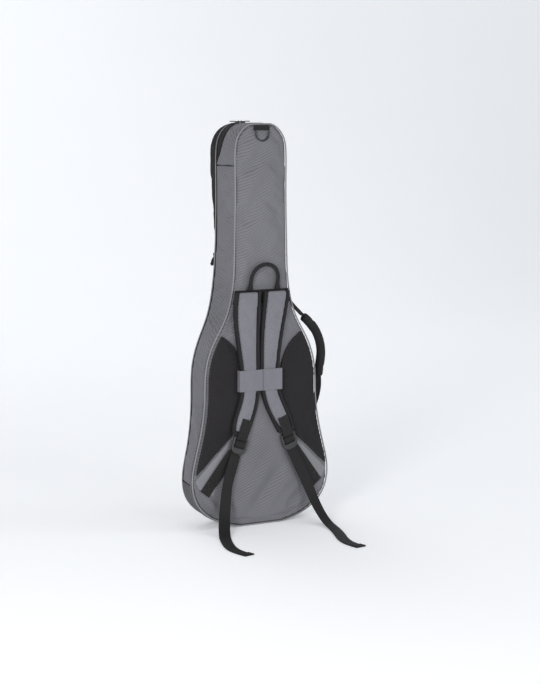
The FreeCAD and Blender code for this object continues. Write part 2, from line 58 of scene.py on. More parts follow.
def makeActive(obj):
    deselectAll()
    obj.select_set(True)
    bpy.context.view_layer.objects.active = obj


deselectAll()

# ---- camera and lights

cameraLook = {
    "place": (-2.5, -4.382, 1.12),
    "target": (0.026, -0.052, 0.4775),
    "lens": 102.9,
}
bpy.ops.object.camera_add(location=cameraLook["place"])
camera = bpy.context.object
camera.name = "studioCamera"
camera.data.lens = cameraLook["lens"]
camera.data.sensor_width = 36
camera.data.clip_end = 60
gaze = Vector(cameraLook["target"]) - Vector(cameraLook["place"])
camera.rotation_euler = gaze.to_track_quat("-Z", "Y").to_euler()
scene.camera = camera

studio = {
    "skyShade": (0.955, 0.97, 1.0, 1),
    "skyPower": 0.5,
    "lamps": (  # name, place, size, power, tint
        ("keyLamp", (-3.2, -3.0, 1.5), 1.2, 88, (1.0, 0.99, 0.97)),
        ("lowLamp", (0.8, -5.2, 0.4), 1.6, 62, (0.98, 0.985, 1.0)),
        ("fillLamp", (4.2, -2.6, 2.6), 2.6, 34, (0.95, 0.97, 1.0)),
        ("backLamp", (0.6, 4.6, 3.6), 3.4, 46, (1.0, 1.0, 1.0)),
    ),
}


def lookAt(obj, target):
    obj.rotation_euler = (Vector(target) - obj.location).to_track_quat("-Z", "Y").to_euler()


for lampName, place, across, power, tint in studio["lamps"]:
    bpy.ops.object.light_add(type="AREA", location=place)
    lamp = bpy.context.object
    lamp.name = lampName
    lamp.data.shape = "DISK"
    lamp.data.size = across
    lamp.data.energy = power
    lamp.data.color = tint
    lookAt(lamp, (0, 0, 0.5))

world = bpy.data.worlds.new("studioSky")
world.use_nodes = True
world.node_tree.nodes["Background"].inputs["Color"].default_value = studio["skyShade"]
world.node_tree.nodes["Background"].inputs["Strength"].default_value = studio["skyPower"]
scene.world = world
scene.view_settings.view_transform = "Standard"
scene.view_settings.look = "None"
print("camera and lights")

# ---- materials


def newGroup(name, inputs, outputs):
    group = bpy.data.node_groups.new(name, "ShaderNodeTree")
    for label, kind, value in inputs:
        socket = group.interface.new_socket(name=label, in_out="INPUT", socket_type=kind)
        if value is not None:
            socket.default_value = value
    for label, kind in outputs:
        group.interface.new_socket(name=label, in_out="OUTPUT", socket_type=kind)
    return group, group.nodes.new("NodeGroupInput"), group.nodes.new("NodeGroupOutput")


def mathNode(tree, operation, first, second=None, third=None):
    node = tree.nodes.new("ShaderNodeMath")
    node.operation = operation
    for socket, value in zip(node.inputs, (first, second, third)):
        if value is None:
            continue
        if isinstance(value, (int, float)):
            socket.default_value = value
        else:
            tree.links.new(value, socket)
    return node.outputs[0]


def makeRibs():
    group, start, end = newGroup(
        "slantedRibs",
        (("Vector", "NodeSocketVector", None), ("Pitch", "NodeSocketFloat", 0.006),
         ("Slant", "NodeSocketFloat", 0.5)),
        (("Ribs", "NodeSocketFloat"),),
    )
    split = group.nodes.new("ShaderNodeSeparateXYZ")
    group.links.new(start.outputs["Vector"], split.inputs[0])
    sideways = mathNode(group, "ADD", split.outputs[0], split.outputs[1])
    run = mathNode(group, "MULTIPLY", sideways, mathNode(group, "SINE", start.outputs["Slant"]))
    rise = mathNode(group, "MULTIPLY", split.outputs[2], mathNode(group, "COSINE", start.outputs["Slant"]))
    across = mathNode(group, "SUBTRACT", rise, run)
    turns = mathNode(group, "DIVIDE", across, start.outputs["Pitch"])
    wave = mathNode(group, "SINE", mathNode(group, "MULTIPLY", turns, 2 * math.pi))
    group.links.new(mathNode(group, "MULTIPLY_ADD", wave, 0.5, 0.5), end.inputs["Ribs"])
    return group


def makeThreads():
    group, start, end = newGroup(
        "wovenThreads",
        (("Vector", "NodeSocketVector", None), ("Thread", "NodeSocketFloat", 0.0009)),
        (("Weave", "NodeSocketFloat"),),
    )
    split = group.nodes.new("ShaderNodeSeparateXYZ")
    group.links.new(start.outputs["Vector"], split.inputs[0])
    sideways = mathNode(group, "ADD", split.outputs[0], split.outputs[1])
    warp = mathNode(group, "MULTIPLY", mathNode(group, "DIVIDE", sideways, start.outputs["Thread"]),
                    math.pi)
    weft = mathNode(group, "MULTIPLY", mathNode(group, "DIVIDE", split.outputs[2], start.outputs["Thread"]),
                    math.pi)
    over = mathNode(group, "MULTIPLY", mathNode(group, "SINE", warp), mathNode(group, "SINE", weft))
    group.links.new(mathNode(group, "MULTIPLY_ADD", over, 0.5, 0.5), end.inputs["Weave"])
    return group


def makeShadeChange():
    group, start, end = newGroup(
        "shadeChange",
        (("Vector", "NodeSocketVector", None), ("Size", "NodeSocketFloat", 6.0)),
        (("Patch", "NodeSocketFloat"), ("Speck", "NodeSocketFloat")),
    )
    for label, scale in (("Patch", 1.0), ("Speck", 60.0)):
        cloud = group.nodes.new("ShaderNodeTexNoise")
        cloud.inputs["Detail"].default_value = 4
        group.links.new(start.outputs["Vector"], cloud.inputs["Vector"])
        group.links.new(mathNode(group, "MULTIPLY", start.outputs["Size"], scale), cloud.inputs["Scale"])
        group.links.new(cloud.outputs["Fac"], end.inputs[label])
    return group


def makeMeshHoles():
    group, start, end = newGroup(
        "meshHoles",
        (("Vector", "NodeSocketVector", None), ("Pitch", "NodeSocketFloat", 0.0034)),
        (("Hole", "NodeSocketFloat"),),
    )
    split = group.nodes.new("ShaderNodeSeparateXYZ")
    group.links.new(start.outputs["Vector"], split.inputs[0])
    waves = []
    for turn in (0, 60, 120):
        c, s = math.cos(math.radians(turn)), math.sin(math.radians(turn))
        line = mathNode(group, "ADD", mathNode(group, "MULTIPLY", split.outputs[0], c),
                        mathNode(group, "MULTIPLY", split.outputs[2], s))
        angle = mathNode(group, "MULTIPLY", mathNode(group, "DIVIDE", line, start.outputs["Pitch"]),
                         2 * math.pi)
        waves.append(mathNode(group, "COSINE", angle))
    total = mathNode(group, "ADD", mathNode(group, "ADD", waves[0], waves[1]), waves[2])
    hole = mathNode(group, "SMOOTH_MIN", mathNode(group, "MAXIMUM", total, 0.0), 1.0, 0.3)
    group.links.new(hole, end.inputs["Hole"])
    return group


ribGroup = makeRibs()
threadGroup = makeThreads()
shadeGroup = makeShadeChange()
holeGroup = makeMeshHoles()


def startMaterial(name, roughness, sheen=0.0, sheenRough=0.5, specular=0.18, coat=0.0, metallic=0.0):
    material = bpy.data.materials.new(name)
    material.use_nodes = True
    tree = material.node_tree
    shader = tree.nodes["Principled BSDF"]
    shader.inputs["Roughness"].default_value = roughness
    shader.inputs["Sheen Weight"].default_value = sheen
    shader.inputs["Sheen Roughness"].default_value = sheenRough
    shader.inputs["Specular IOR Level"].default_value = specular
    shader.inputs["Coat Weight"].default_value = coat
    shader.inputs["Metallic"].default_value = metallic
    place = tree.nodes.new("ShaderNodeTexCoord")
    return material, tree, shader, place


def useGroup(tree, group, vector, **values):
    node = tree.nodes.new("ShaderNodeGroup")
    node.node_tree = group
    tree.links.new(vector, node.inputs["Vector"])
    for label, value in values.items():
        node.inputs[label].default_value = value
    return node


def blendShades(tree, share, dark, light):
    ramp = tree.nodes.new("ShaderNodeMix")
    ramp.data_type = "RGBA"
    tree.links.new(share, ramp.inputs["Factor"])
    ramp.inputs["A"].default_value = (*dark, 1)
    ramp.inputs["B"].default_value = (*light, 1)
    return ramp.outputs["Result"]


def addBump(tree, shader, height, depth, strength=1.0):
    bump = tree.nodes.new("ShaderNodeBump")
    bump.inputs["Distance"].default_value = depth
    bump.inputs["Strength"].default_value = strength
    tree.links.new(height, bump.inputs["Height"])
    tree.links.new(bump.outputs["Normal"], shader.inputs["Normal"])


def wovenCloth(name, look, vector="Object"):
    material, tree, shader, place = startMaterial(name, look["rough"], look.get("sheen", 0.0))
    shader.inputs["Sheen Tint"].default_value = (0.8, 0.8, 0.85, 1)
    source = place.outputs[vector]
    ribs = useGroup(tree, ribGroup, source, Pitch=look["pitch"], Slant=look["slant"]).outputs["Ribs"]
    threads = useGroup(tree, threadGroup, source, Thread=look["thread"]).outputs["Weave"]
    shade = useGroup(tree, shadeGroup, source, Size=look.get("patch", 7.0))
    fibre = mathNode(tree, "MULTIPLY", ribs, look["ribShow"])
    fibre = mathNode(tree, "MULTIPLY_ADD", threads, look["threadShow"], fibre)
    fibre = mathNode(tree, "MULTIPLY_ADD", shade.outputs["Patch"], look.get("patchShow", 0.45), fibre)
    fibre = mathNode(tree, "MULTIPLY_ADD", shade.outputs["Speck"], look.get("speckShow", 0.25), fibre)
    tree.links.new(blendShades(tree, fibre, look["dark"], look["light"]), shader.inputs["Base Color"])
    height = mathNode(tree, "MULTIPLY_ADD", threads, look.get("threadBump", 0.4), ribs)
    addBump(tree, shader, height, look["bump"], look.get("bumpPower", 0.6))
    worn = mathNode(tree, "MULTIPLY_ADD", shade.outputs["Patch"], 0.18, look["rough"] - 0.09)
    tree.links.new(worn, shader.inputs["Roughness"])
    return material


greyTwill = wovenCloth("greyTwill", {
    "dark": (0.062, 0.0615, 0.068), "light": (0.205, 0.204, 0.222), "rough": 0.78, "sheen": 0.05,
    "pitch": 0.0064, "slant": 0.46, "ribShow": 0.34, "thread": 0.0011, "threadShow": 0.22, "bump": 0.00022,
})
strapTwill = wovenCloth("strapTwill", {
    "dark": (0.098, 0.098, 0.112), "light": (0.232, 0.232, 0.262), "rough": 0.74, "sheen": 0.06,
    "pitch": 0.0052, "slant": 1.05, "ribShow": 0.2, "thread": 0.0010, "threadShow": 0.24, "bump": 0.0002,
})
bumperTwill = wovenCloth("bumperTwill", {
    "dark": (0.040, 0.040, 0.042), "light": (0.118, 0.118, 0.122), "rough": 0.82, "sheen": 0.03,
    "pitch": 0.0031, "slant": 0.8, "ribShow": 0.35, "thread": 0.0016, "threadShow": 0.3, "bump": 0.00035,
})
blackCloth = wovenCloth("blackCloth", {
    "dark": (0.004, 0.0037, 0.004), "light": (0.026, 0.0245, 0.0265), "rough": 0.8, "sheen": 0.015,
    "pitch": 0.0024, "slant": 0.7, "ribShow": 0.25, "thread": 0.0009, "threadShow": 0.35, "bump": 0.0002,
})
pipingCloth = wovenCloth("pipingCloth", {
    "dark": (0.135, 0.134, 0.143), "light": (0.290, 0.288, 0.305), "rough": 0.6, "sheen": 0.1,
    "pitch": 0.0016, "slant": 0.9, "ribShow": 0.4, "thread": 0.0008, "threadShow": 0.25, "bump": 0.00018,
})
lightTwill = wovenCloth("lightTwill", {
    "dark": (0.120, 0.120, 0.130), "light": (0.270, 0.270, 0.292), "rough": 0.76, "sheen": 0.12,
    "pitch": 0.0058, "slant": -0.6, "ribShow": 0.2, "thread": 0.0010, "threadShow": 0.24, "bump": 0.0002,
})


def meshCloth(name, look):
    material, tree, shader, place = startMaterial(name, look["rough"], look["sheen"])
    source = place.outputs["Object"]
    hole = useGroup(tree, holeGroup, source, Pitch=look["pitch"]).outputs["Hole"]
    shade = useGroup(tree, shadeGroup, source, Size=9.0)
    # painted shade: the holes are painted much darker than the threads, standing in for the shade down in the
    # mesh holes; the bump also presses them in
    solid = mathNode(tree, "MULTIPLY_ADD", hole, -0.75, 0.85)
    share = mathNode(tree, "MULTIPLY_ADD", shade.outputs["Patch"], 0.3,
                     mathNode(tree, "SUBTRACT", solid, 0.15))
    tree.links.new(blendShades(tree, share, look["dark"], look["light"]), shader.inputs["Base Color"])
    height = mathNode(tree, "MULTIPLY_ADD", shade.outputs["Speck"], 0.15,
                      mathNode(tree, "MULTIPLY", hole, -1.0))
    addBump(tree, shader, height, look["bump"], 0.8)
    return material


airMesh = meshCloth("airMesh", {
    "dark": (0.003, 0.0028, 0.0031), "light": (0.030, 0.0275, 0.030), "rough": 0.85, "sheen": 0.01,
    "pitch": 0.0027, "bump": 0.0006,
})


def webbingCloth(name, look):
    material, tree, shader, place = startMaterial(name, look["rough"], look["sheen"])
    spread = tree.nodes.new("ShaderNodeUVMap")
    spread.uv_map = "run"
    split = tree.nodes.new("ShaderNodeSeparateXYZ")
    tree.links.new(spread.outputs["UV"], split.inputs[0])
    along = mathNode(tree, "MULTIPLY", split.outputs[0], 2 * math.pi / look["step"])
    across = mathNode(tree, "MULTIPLY", split.outputs[1], 2 * math.pi / look["cord"])
    lines = mathNode(tree, "MULTIPLY_ADD", mathNode(tree, "COSINE", across), 0.5, 0.5)
    picks = mathNode(tree, "SINE",
                     mathNode(tree, "MULTIPLY_ADD", mathNode(tree, "COSINE", across), 1.2, along))
    picks = mathNode(tree, "MULTIPLY_ADD", picks, 0.5, 0.5)
    shade = useGroup(tree, shadeGroup, place.outputs["Object"], Size=14.0)
    share = mathNode(tree, "MULTIPLY", lines, 0.3)
    share = mathNode(tree, "MULTIPLY_ADD", picks, 0.3, share)
    share = mathNode(tree, "MULTIPLY_ADD", shade.outputs["Patch"], 0.35, share)
    share = mathNode(tree, "MULTIPLY_ADD", shade.outputs["Speck"], 0.1, share)
    tree.links.new(blendShades(tree, share, look["dark"], look["light"]), shader.inputs["Base Color"])
    height = mathNode(tree, "MULTIPLY_ADD", picks, 0.6, lines)
    addBump(tree, shader, height, look["bump"], 0.8)
    return material


blackWebbing = webbingCloth("blackWebbing", {
    "dark": (0.004, 0.0038, 0.004), "light": (0.028, 0.0268, 0.028), "rough": 0.66, "sheen": 0.012,
    "step": 0.0022, "cord": 0.0030, "bump": 0.0004,
})


def grainedSolid(name, look):
    material, tree, shader, place = startMaterial(
        name, look["rough"], look.get("sheen", 0.0), coat=look.get("coat", 0.0),
        metallic=look.get("metallic", 0.0),
        specular=look.get("specular", 0.5))
    shade = useGroup(tree, shadeGroup, place.outputs["Object"], Size=look["size"])
    share = mathNode(tree, "MULTIPLY_ADD", shade.outputs["Speck"], 0.6,
                     mathNode(tree, "MULTIPLY", shade.outputs["Patch"], 0.5))
    tree.links.new(blendShades(tree, share, look["dark"], look["light"]), shader.inputs["Base Color"])
    worn = mathNode(tree, "MULTIPLY_ADD", shade.outputs["Patch"], 0.25, look["rough"] - 0.12)
    tree.links.new(worn, shader.inputs["Roughness"])
    addBump(tree, shader, shade.outputs["Speck"], look["bump"], 0.5)
    return material


foamSkin = grainedSolid("foamSkin", {"dark": (0.05, 0.05, 0.054), "light": (0.15, 0.15, 0.16), "rough": 0.9,
                                     "size": 24.0, "bump": 0.0004})
plushPile = grainedSolid("plushPile",
                         {"dark": (0.035, 0.035, 0.038), "light": (0.12, 0.12, 0.13), "rough": 0.95,
                                       "sheen": 0.5, "size": 30.0, "bump": 0.0009})
nylon = grainedSolid("mouldedNylon",
                     {"dark": (0.006, 0.006, 0.0063), "light": (0.024, 0.024, 0.025), "rough": 0.36,
                                      "size": 40.0, "bump": 0.00008, "specular": 0.6})
enamel = grainedSolid("blackEnamel",
                      {"dark": (0.02, 0.02, 0.021), "light": (0.06, 0.06, 0.062), "rough": 0.3,
                                      "size": 50.0, "bump": 0.00005, "coat": 0.3, "metallic": 0.8})
threadFibre = grainedSolid("threadFibre",
                           {"dark": (0.09, 0.09, 0.097), "light": (0.2, 0.2, 0.215), "rough": 0.7,
                                           "size": 60.0, "bump": 0.0001})
blackThread = grainedSolid("blackThread",
                           {"dark": (0.02, 0.02, 0.021), "light": (0.06, 0.06, 0.062), "rough": 0.7,
                                           "size": 60.0, "bump": 0.0001})
print("materials")

# ---- ways of making


def newPiece(name, verts, faces, material=None):
    mesh = bpy.data.meshes.new(name)
    mesh.from_pydata([tuple(v) for v in verts], [], faces)
    mesh.update()
    obj = bpy.data.objects.new(name, mesh)
    scene.collection.objects.link(obj)
    if material:
        mesh.materials.append(material)
    return obj


def dress(obj, material, angle=40):
    obj.data.materials.clear()
    obj.data.materials.append(material)
    makeActive(obj)
    bpy.ops.object.shade_smooth_by_angle(angle=math.radians(angle))
    return obj


def finishModifiers(obj):
    makeActive(obj)
    for modifier in list(obj.modifiers):
        bpy.ops.object.modifier_apply(modifier=modifier.name)


def outwards(obj):
    makeActive(obj)
    bpy.ops.object.mode_set(mode="EDIT")
    bpy.ops.mesh.select_all(action="SELECT")
    bpy.ops.mesh.normals_make_consistent(inside=False)
    bpy.ops.object.mode_set(mode="OBJECT")


def copyNodes(name, *names):
    parts = []
    for node in names:
        twin = nodes[node].copy()
        twin.data = nodes[node].data.copy()
        twin.parent = None
        for key in list(twin.keys()):
            del twin[key]
        scene.collection.objects.link(twin)
        parts.append(twin)
    deselectAll()
    for part in parts:
        part.select_set(True)
    bpy.context.view_layer.objects.active = parts[0]
    if len(parts) > 1:
        bpy.ops.object.join()
    twin = bpy.context.object
    twin.name = name
    twin.data.name = name
    bpy.ops.object.mode_set(mode="EDIT")
    bpy.ops.mesh.select_all(action="SELECT")
    bpy.ops.mesh.remove_doubles(threshold=0.00001)
    bpy.ops.object.mode_set(mode="OBJECT")
    return twin


def remesh(obj, voxel):
    modifier = obj.modifiers.new("remesh", "REMESH")
    modifier.mode = "VOXEL"
    modifier.voxel_size = voxel
    modifier.use_smooth_shade = True
    finishModifiers(obj)


def soften(obj, factor, times):
    modifier = obj.modifiers.new("soften", "SMOOTH")
    modifier.factor = factor
    modifier.iterations = times
    finishModifiers(obj)


def divide(obj, levels=1):
    modifier = obj.modifiers.new("divide", "SUBSURF")
    modifier.levels = modifier.render_levels = levels
    finishModifiers(obj)


def roundEdges(obj, width, segments=2, angle=35):
    modifier = obj.modifiers.new("round", "BEVEL")
    modifier.width = width
    modifier.segments = segments
    modifier.limit_method = "ANGLE"
    modifier.angle_limit = math.radians(angle)
    finishModifiers(obj)


def readPoints(obj):
    flat = np.empty(len(obj.data.vertices) * 3)
    obj.data.vertices.foreach_get("co", flat)
    return flat.reshape(-1, 3)


def writePoints(obj, points):
    obj.data.vertices.foreach_set("co", points.astype(np.float32).ravel())
    obj.data.update()


def treeOf(*names):
    trees = []
    for name in names:
        source = nodes[name] if name in nodes else bpy.data.objects[name]
        trees.append(BVHTree.FromPolygons([v.co for v in source.data.vertices],
                                          [f.vertices for f in source.data.polygons]))
    return trees


def nearest(trees, points):
    gaps = np.full(len(points), 1.0)
    for tree in trees:
        for i, point in enumerate(points):
            found = tree.find_nearest(Vector(point), float(gaps[i]))
            if found[0] is not None:
                gaps[i] = min(gaps[i], found[3])
    return gaps


def blowUp(obj, hold, cap, pressure=4.0, growth=0.03, frames=20):
    # hold: 0 free to 1 sewn down, cap: how far each point may move
    start = readPoints(obj)
    group = obj.vertex_groups.new(name="sewn")
    for i, share in enumerate(hold):
        if share > 0:
            group.add([i], float(share), "REPLACE")
    cloth = obj.modifiers.new("cloth", "CLOTH")
    cloth.settings.quality = 4
    cloth.settings.mass = 0.25
    cloth.settings.tension_stiffness = 18
    cloth.settings.compression_stiffness = 18
    cloth.settings.shear_stiffness = 8
    cloth.settings.bending_stiffness = 0.6
    cloth.settings.use_pressure = True
    cloth.settings.uniform_pressure_force = pressure
    cloth.settings.shrink_min = -growth
    cloth.settings.vertex_group_mass = "sewn"
    cloth.settings.effector_weights.gravity = 0
    cloth.collision_settings.use_collision = False
    cloth.collision_settings.use_self_collision = False
    cloth.point_cache.frame_start = 1
    cloth.point_cache.frame_end = frames
    for number in range(1, frames + 1):
        scene.frame_set(number)
    made = obj.evaluated_get(bpy.context.evaluated_depsgraph_get())
    moved = np.empty(len(made.data.vertices) * 3)
    made.data.vertices.foreach_get("co", moved)
    shift = moved.reshape(-1, 3) - start
    far = np.linalg.norm(shift, axis=1)
    keep = np.minimum(1.0, np.asarray(cap) / np.maximum(far, 1e-9))
    keep = np.where(np.isfinite(far), keep, 0.0)
    obj.modifiers.remove(cloth)
    obj.vertex_groups.remove(group)
    scene.frame_set(1)
    writePoints(obj, start + np.nan_to_num(shift) * keep[:, None])
    print(obj.name, "blown up by", round(float(far.max()) * 1000, 1), "mm before the cap")


def crease(obj, folds, plane=(0, 2), wave=0.0, hold=None):
    # soft folds: each runs from one place to another on the cloth, with its half width and height
    spots = readPoints(obj)
    normals = np.array([v.normal[:] for v in obj.data.vertices])
    flat = spots[:, plane]
    lift = np.array([noise.noise(Vector(p) * 14) for p in spots]) * wave
    for (u0, v0), (u1, v1), wide, high in folds:
        start, end = np.array([u0, v0]) / 1000, np.array([u1, v1]) / 1000
        run = end - start
        share = np.clip((flat - start) @ run / run.dot(run), 0, 1)
        away = np.linalg.norm(flat - start - share[:, None] * run, axis=1) / (wide / 1000)
        lift += np.exp(-away ** 2) * np.sin(np.clip(share, 0.04, 0.96) * math.pi) ** 0.7 * high / 1000
    if hold is not None:
        lift *= hold
    writePoints(obj, spots + normals * lift[:, None])


def rimOf(node, side, step=0.006):
    # the longest edge loop of the node's flat face towards -Y (side -1) or +Y (side 1), as even (x, z) points
    sheet = bmesh.new()
    sheet.from_mesh(nodes[node].data)
    bmesh.ops.remove_doubles(sheet, verts=sheet.verts, dist=0.00001)
    level = max(v.co.y * side for v in sheet.verts)
    flat = {f for f in sheet.faces if all(abs(v.co.y * side - level) < 0.0002 for v in f.verts)}
    links = {}
    for edge in sheet.edges:
        if sum(f in flat for f in edge.link_faces) == 1:
            a, b = edge.verts
            links.setdefault(a, []).append(b)
            links.setdefault(b, []).append(a)
    loops = []
    while links:
        here = next(iter(links))
        loop = [here]
        while links.get(here):
            there = links[here].pop()
            links[there].remove(here)
            loop.append(there)
            here = there
        for vert in [v for v in links if not links[v]]:
            del links[vert]
        loops.append([(v.co.x, v.co.z) for v in loop])
    sheet.free()
    loops.sort(key=lambda loop: sum(math.dist(a, b) for a, b in zip(loop, loop[1:])))
    return evenLoop(np.array(loops[-1]), step)


def runAlong(points):
    # the length along a line, at each of its points
    return np.concatenate([[0], np.cumsum(np.linalg.norm(np.diff(points, axis=0), axis=1))])


def evenLoop(loop, step):
    if np.linalg.norm(loop[0] - loop[-1]) > 1e-7:
        loop = np.vstack([loop, loop[:1]])
    along = runAlong(loop)
    count = max(8, int(round(along[-1] / step)))
    where = np.linspace(0, along[-1], count, endpoint=False)
    even = np.column_stack([np.interp(where, along, loop[:, i]) for i in range(2)])
    area = np.sum(even[:, 0] * np.roll(even[:, 1], -1) - np.roll(even[:, 0], -1) * even[:, 1])
    return even if area > 0 else even[::-1]


def insetLoop(loop, inset, step=None):
    ahead = np.roll(loop, -1, axis=0) - np.roll(loop, 1, axis=0)
    ahead /= np.linalg.norm(ahead, axis=1)[:, None]
    moved = loop + np.column_stack([-ahead[:, 1], ahead[:, 0]]) * inset
    return moved if step is None else evenLoop(moved, step)


def rimGap(loop, points):
    # how far each point is from a flat (x, z) outline
    count = len(loop)
    fence = BVHTree.FromPolygons(
        [(x, 0, z) for x, z in loop] + [(x, 0.001, z) for x, z in loop],
        [(i, (i + 1) % count, (i + 1) % count + count, i + count) for i in range(count)])
    return np.array([fence.find_nearest(Vector((x, 0.0005, z)))[3] for x, _, z in points])


def clipLoop(loop, low, high, step=0.006):
    # the part of an (x, z) outline between two heights
    for level, above in ((low, True), (high, False)):
        kept = []
        for a, b in zip(loop, np.roll(loop, -1, axis=0)):
            inA, inB = ((p[1] >= level) == above for p in (a, b))
            if inA:
                kept.append(a)
            if inA != inB:
                kept.append(a + (b - a) * (level - a[1]) / (b[1] - a[1]))
        loop = np.array(kept)
    return evenLoop(loop, step)


def slabFrom(name, loop, y0, y1):
    # a closed block from a flat outline, filled and extruded along Y
    count = len(loop)
    mesh = bpy.data.meshes.new(name)
    mesh.from_pydata([(x, y0, z) for x, z in loop], [(i, (i + 1) % count) for i in range(count)], [])
    obj = bpy.data.objects.new(name, mesh)
    scene.collection.objects.link(obj)
    makeActive(obj)
    bpy.ops.object.mode_set(mode="EDIT")
    bpy.ops.mesh.select_all(action="SELECT")
    bpy.ops.mesh.edge_face_add()
    bpy.ops.mesh.extrude_region_move(TRANSFORM_OT_translate={"value": (0, y1 - y0, 0)})
    bpy.ops.mesh.select_all(action="SELECT")
    bpy.ops.mesh.normals_make_consistent(inside=False)
    bpy.ops.object.mode_set(mode="OBJECT")
    return obj


def tubeAlong(name, points, radius, closed=False, sides=10, flatten=1.0, material=None):
    # a round cord along even points
    points = np.asarray(points, float)
    ahead = np.roll(points, -1, axis=0) - np.roll(points, 1,
                                                  axis=0) if closed else np.gradient(points, axis=0)
    ahead /= np.linalg.norm(ahead, axis=1)[:, None]
    up = np.array([0.0, 1.0, 0.0])
    verts, faces = [], []
    for point, way in zip(points, ahead):
        side = np.cross(way, up)
        if np.linalg.norm(side) < 0.1:
            side = np.cross(way, [1.0, 0.0, 0.0])
        side /= np.linalg.norm(side)
        out = np.cross(side, way)
        for k in range(sides):
            a = 2 * math.pi * k / sides
            verts.append(point + side * math.cos(a) * radius + out * math.sin(a) * radius * flatten)
    count = len(points)
    for i in range(count if closed else count - 1):
        for k in range(sides):
            j = (i + 1) % count
            faces.append((i * sides + k, i * sides + (k + 1) % sides, j * sides + (k + 1) % sides,
                          j * sides + k))
    if not closed:
        faces.append(tuple(range(sides))[::-1])
        faces.append(tuple((count - 1) * sides + k for k in range(sides)))
    obj = newPiece(name, verts, faces)
    outwards(obj)
    dress(obj, material, 60)
    return obj


def strip(name, path, widthway, wide, thick, material=blackWebbing, rows=7, waver=0.0, widthAt=None):
    # flat webbing along a path; widthway gives the direction across it at each point
    path = np.asarray(path, float)
    ahead = np.gradient(path, axis=0)
    ahead /= np.linalg.norm(ahead, axis=1)[:, None]
    along = runAlong(path)
    ring, edge = [], wide / 2
    for k in range(rows):
        share = k / (rows - 1) * 2 - 1
        ring.append((share * (edge - thick * 0.25), 0.5))
    profile = [(s, thick * 0.5) for s, _ in ring] + [(edge, 0.0)] + [(s, -thick * 0.5) for s,
                                                                     _ in ring[::-1]] + [(-edge, 0.0)]
    girth = [s for s, _ in ring] + [edge] + [s for s, _ in ring[::-1]] + [-edge]
    size = len(profile)
    verts, faces, spread = [], [], []
    for i, (point, way) in enumerate(zip(path, ahead)):
        side = np.asarray(widthway(i / (len(path) - 1), point), float)
        side = side - way * side.dot(way)
        side /= np.linalg.norm(side)
        out = np.cross(way, side)
        swell = waver * noise.noise(Vector(point) * 18)
        fit = widthAt(i / (len(path) - 1)) if widthAt else 1.0
        for s, t in profile:
            verts.append(point + side * s * fit + out * (t + swell * (s / edge)))
    for i in range(len(path) - 1):
        for k in range(size):
            n = (k + 1) % size
            faces.append((i * size + k, i * size + n, (i + 1) * size + n, (i + 1) * size + k))
            spread += [(along[i], girth[k]), (along[i], girth[n]), (along[i + 1], girth[n]),
                       (along[i + 1], girth[k])]
    last = (len(path) - 1) * size
    faces.append(tuple(range(size))[::-1])
    spread += [(along[0], girth[k]) for k in range(size)][::-1]
    faces.append(tuple(last + k for k in range(size)))
    spread += [(along[-1], girth[k]) for k in range(size)]
    obj = newPiece(name, verts, faces)
    layer = obj.data.uv_layers.new(name="run")
    layer.data.foreach_set("uv", np.array(spread, np.float32).ravel())
    outwards(obj)
    dress(obj, material, 50)
    return obj


def smoothPath(points, step=0.004):
    # a NURBS line through the run of the points, read back as even points
    curve = bpy.data.curves.new("route", "CURVE")
    curve.dimensions = "3D"
    spline = curve.splines.new("NURBS")
    spline.points.add(len(points) - 1)
    for slot, point in zip(spline.points, points):
        slot.co = (*point, 1)
    spline.order_u = 3
    spline.use_endpoint_u = True
    spline.resolution_u = 24
    holder = bpy.data.objects.new("route", curve)
    scene.collection.objects.link(holder)
    bpy.context.view_layer.update()
    line = bpy.data.meshes.new_from_object(holder)
    flat = np.array([v.co[:] for v in line.vertices])
    bpy.data.objects.remove(holder)
    bpy.data.curves.remove(curve)
    bpy.data.meshes.remove(line)
    along = runAlong(flat)
    where = np.linspace(0, along[-1], max(4, int(along[-1] / step)))
    return np.column_stack([np.interp(where, along, flat[:, i]) for i in range(3)])


def stitches(name, lines, out, long=0.0034, pitch=0.0048, thick=0.00045, material=threadFibre, lift=0.0001):
    # one small thread bead, repeated along lines of points; out points away from the cloth
    verts, faces = [], []
    for line in lines:
        line = np.asarray(line, float)
        along = runAlong(line)
        for start in np.arange(pitch * 0.5, along[-1] - long, pitch):
            a, b = (np.array([np.interp(t, along,
                                        line[:, i]) for i in range(3)]) for t in (start, start + long))
            way = (b - a) / max(np.linalg.norm(b - a), 1e-9)
            normal = np.asarray(out((a + b) / 2) if callable(out) else out, float)
            normal = normal - way * normal.dot(way)
            normal /= max(np.linalg.norm(normal), 1e-9)
            side = np.cross(way, normal)
            base = len(verts)
            for share, swell in ((0.0, 0.25), (0.28, 1.0), (0.72, 1.0), (1.0, 0.25)):
                centre = a + (b - a) * share + normal * (lift + thick * 0.5 * (swell - 0.4))
                for k in range(4):
                    turn = math.pi / 4 + k * math.pi / 2
                    verts.append(centre + (side * math.cos(turn) + normal * math.sin(turn)) * thick * swell)
            for i in range(3):
                for k in range(4):
                    n = (k + 1) % 4
                    faces.append((base + i * 4 + k, base + i * 4 + n, base + (i + 1) * 4 + n,
                                  base + (i + 1) * 4 + k))
            faces.append((base + 3, base + 2, base + 1, base))
            faces.append((base + 12, base + 13, base + 14, base + 15))
    obj = newPiece(name, verts, faces)
    outwards(obj)
    dress(obj, material, 70)
    return obj


def onto(piece, points, way):
    # where lines going along way first meet the piece
    tree = treeOf(piece.name)[0]
    landed = []
    way = Vector(way).normalized()
    for point in points:
        hit = tree.ray_cast(Vector(point) - way * 0.06, way, 0.2)
        if hit[0] is not None:
            landed.append(hit[0][:])
    return landed


def ride(obj, body, slot, *replaced):
    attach(obj, body)
    if replaced:
        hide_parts(*replaced)
    return obj


# ---- the two strap tails: flat webbing at its full length, out over the floor

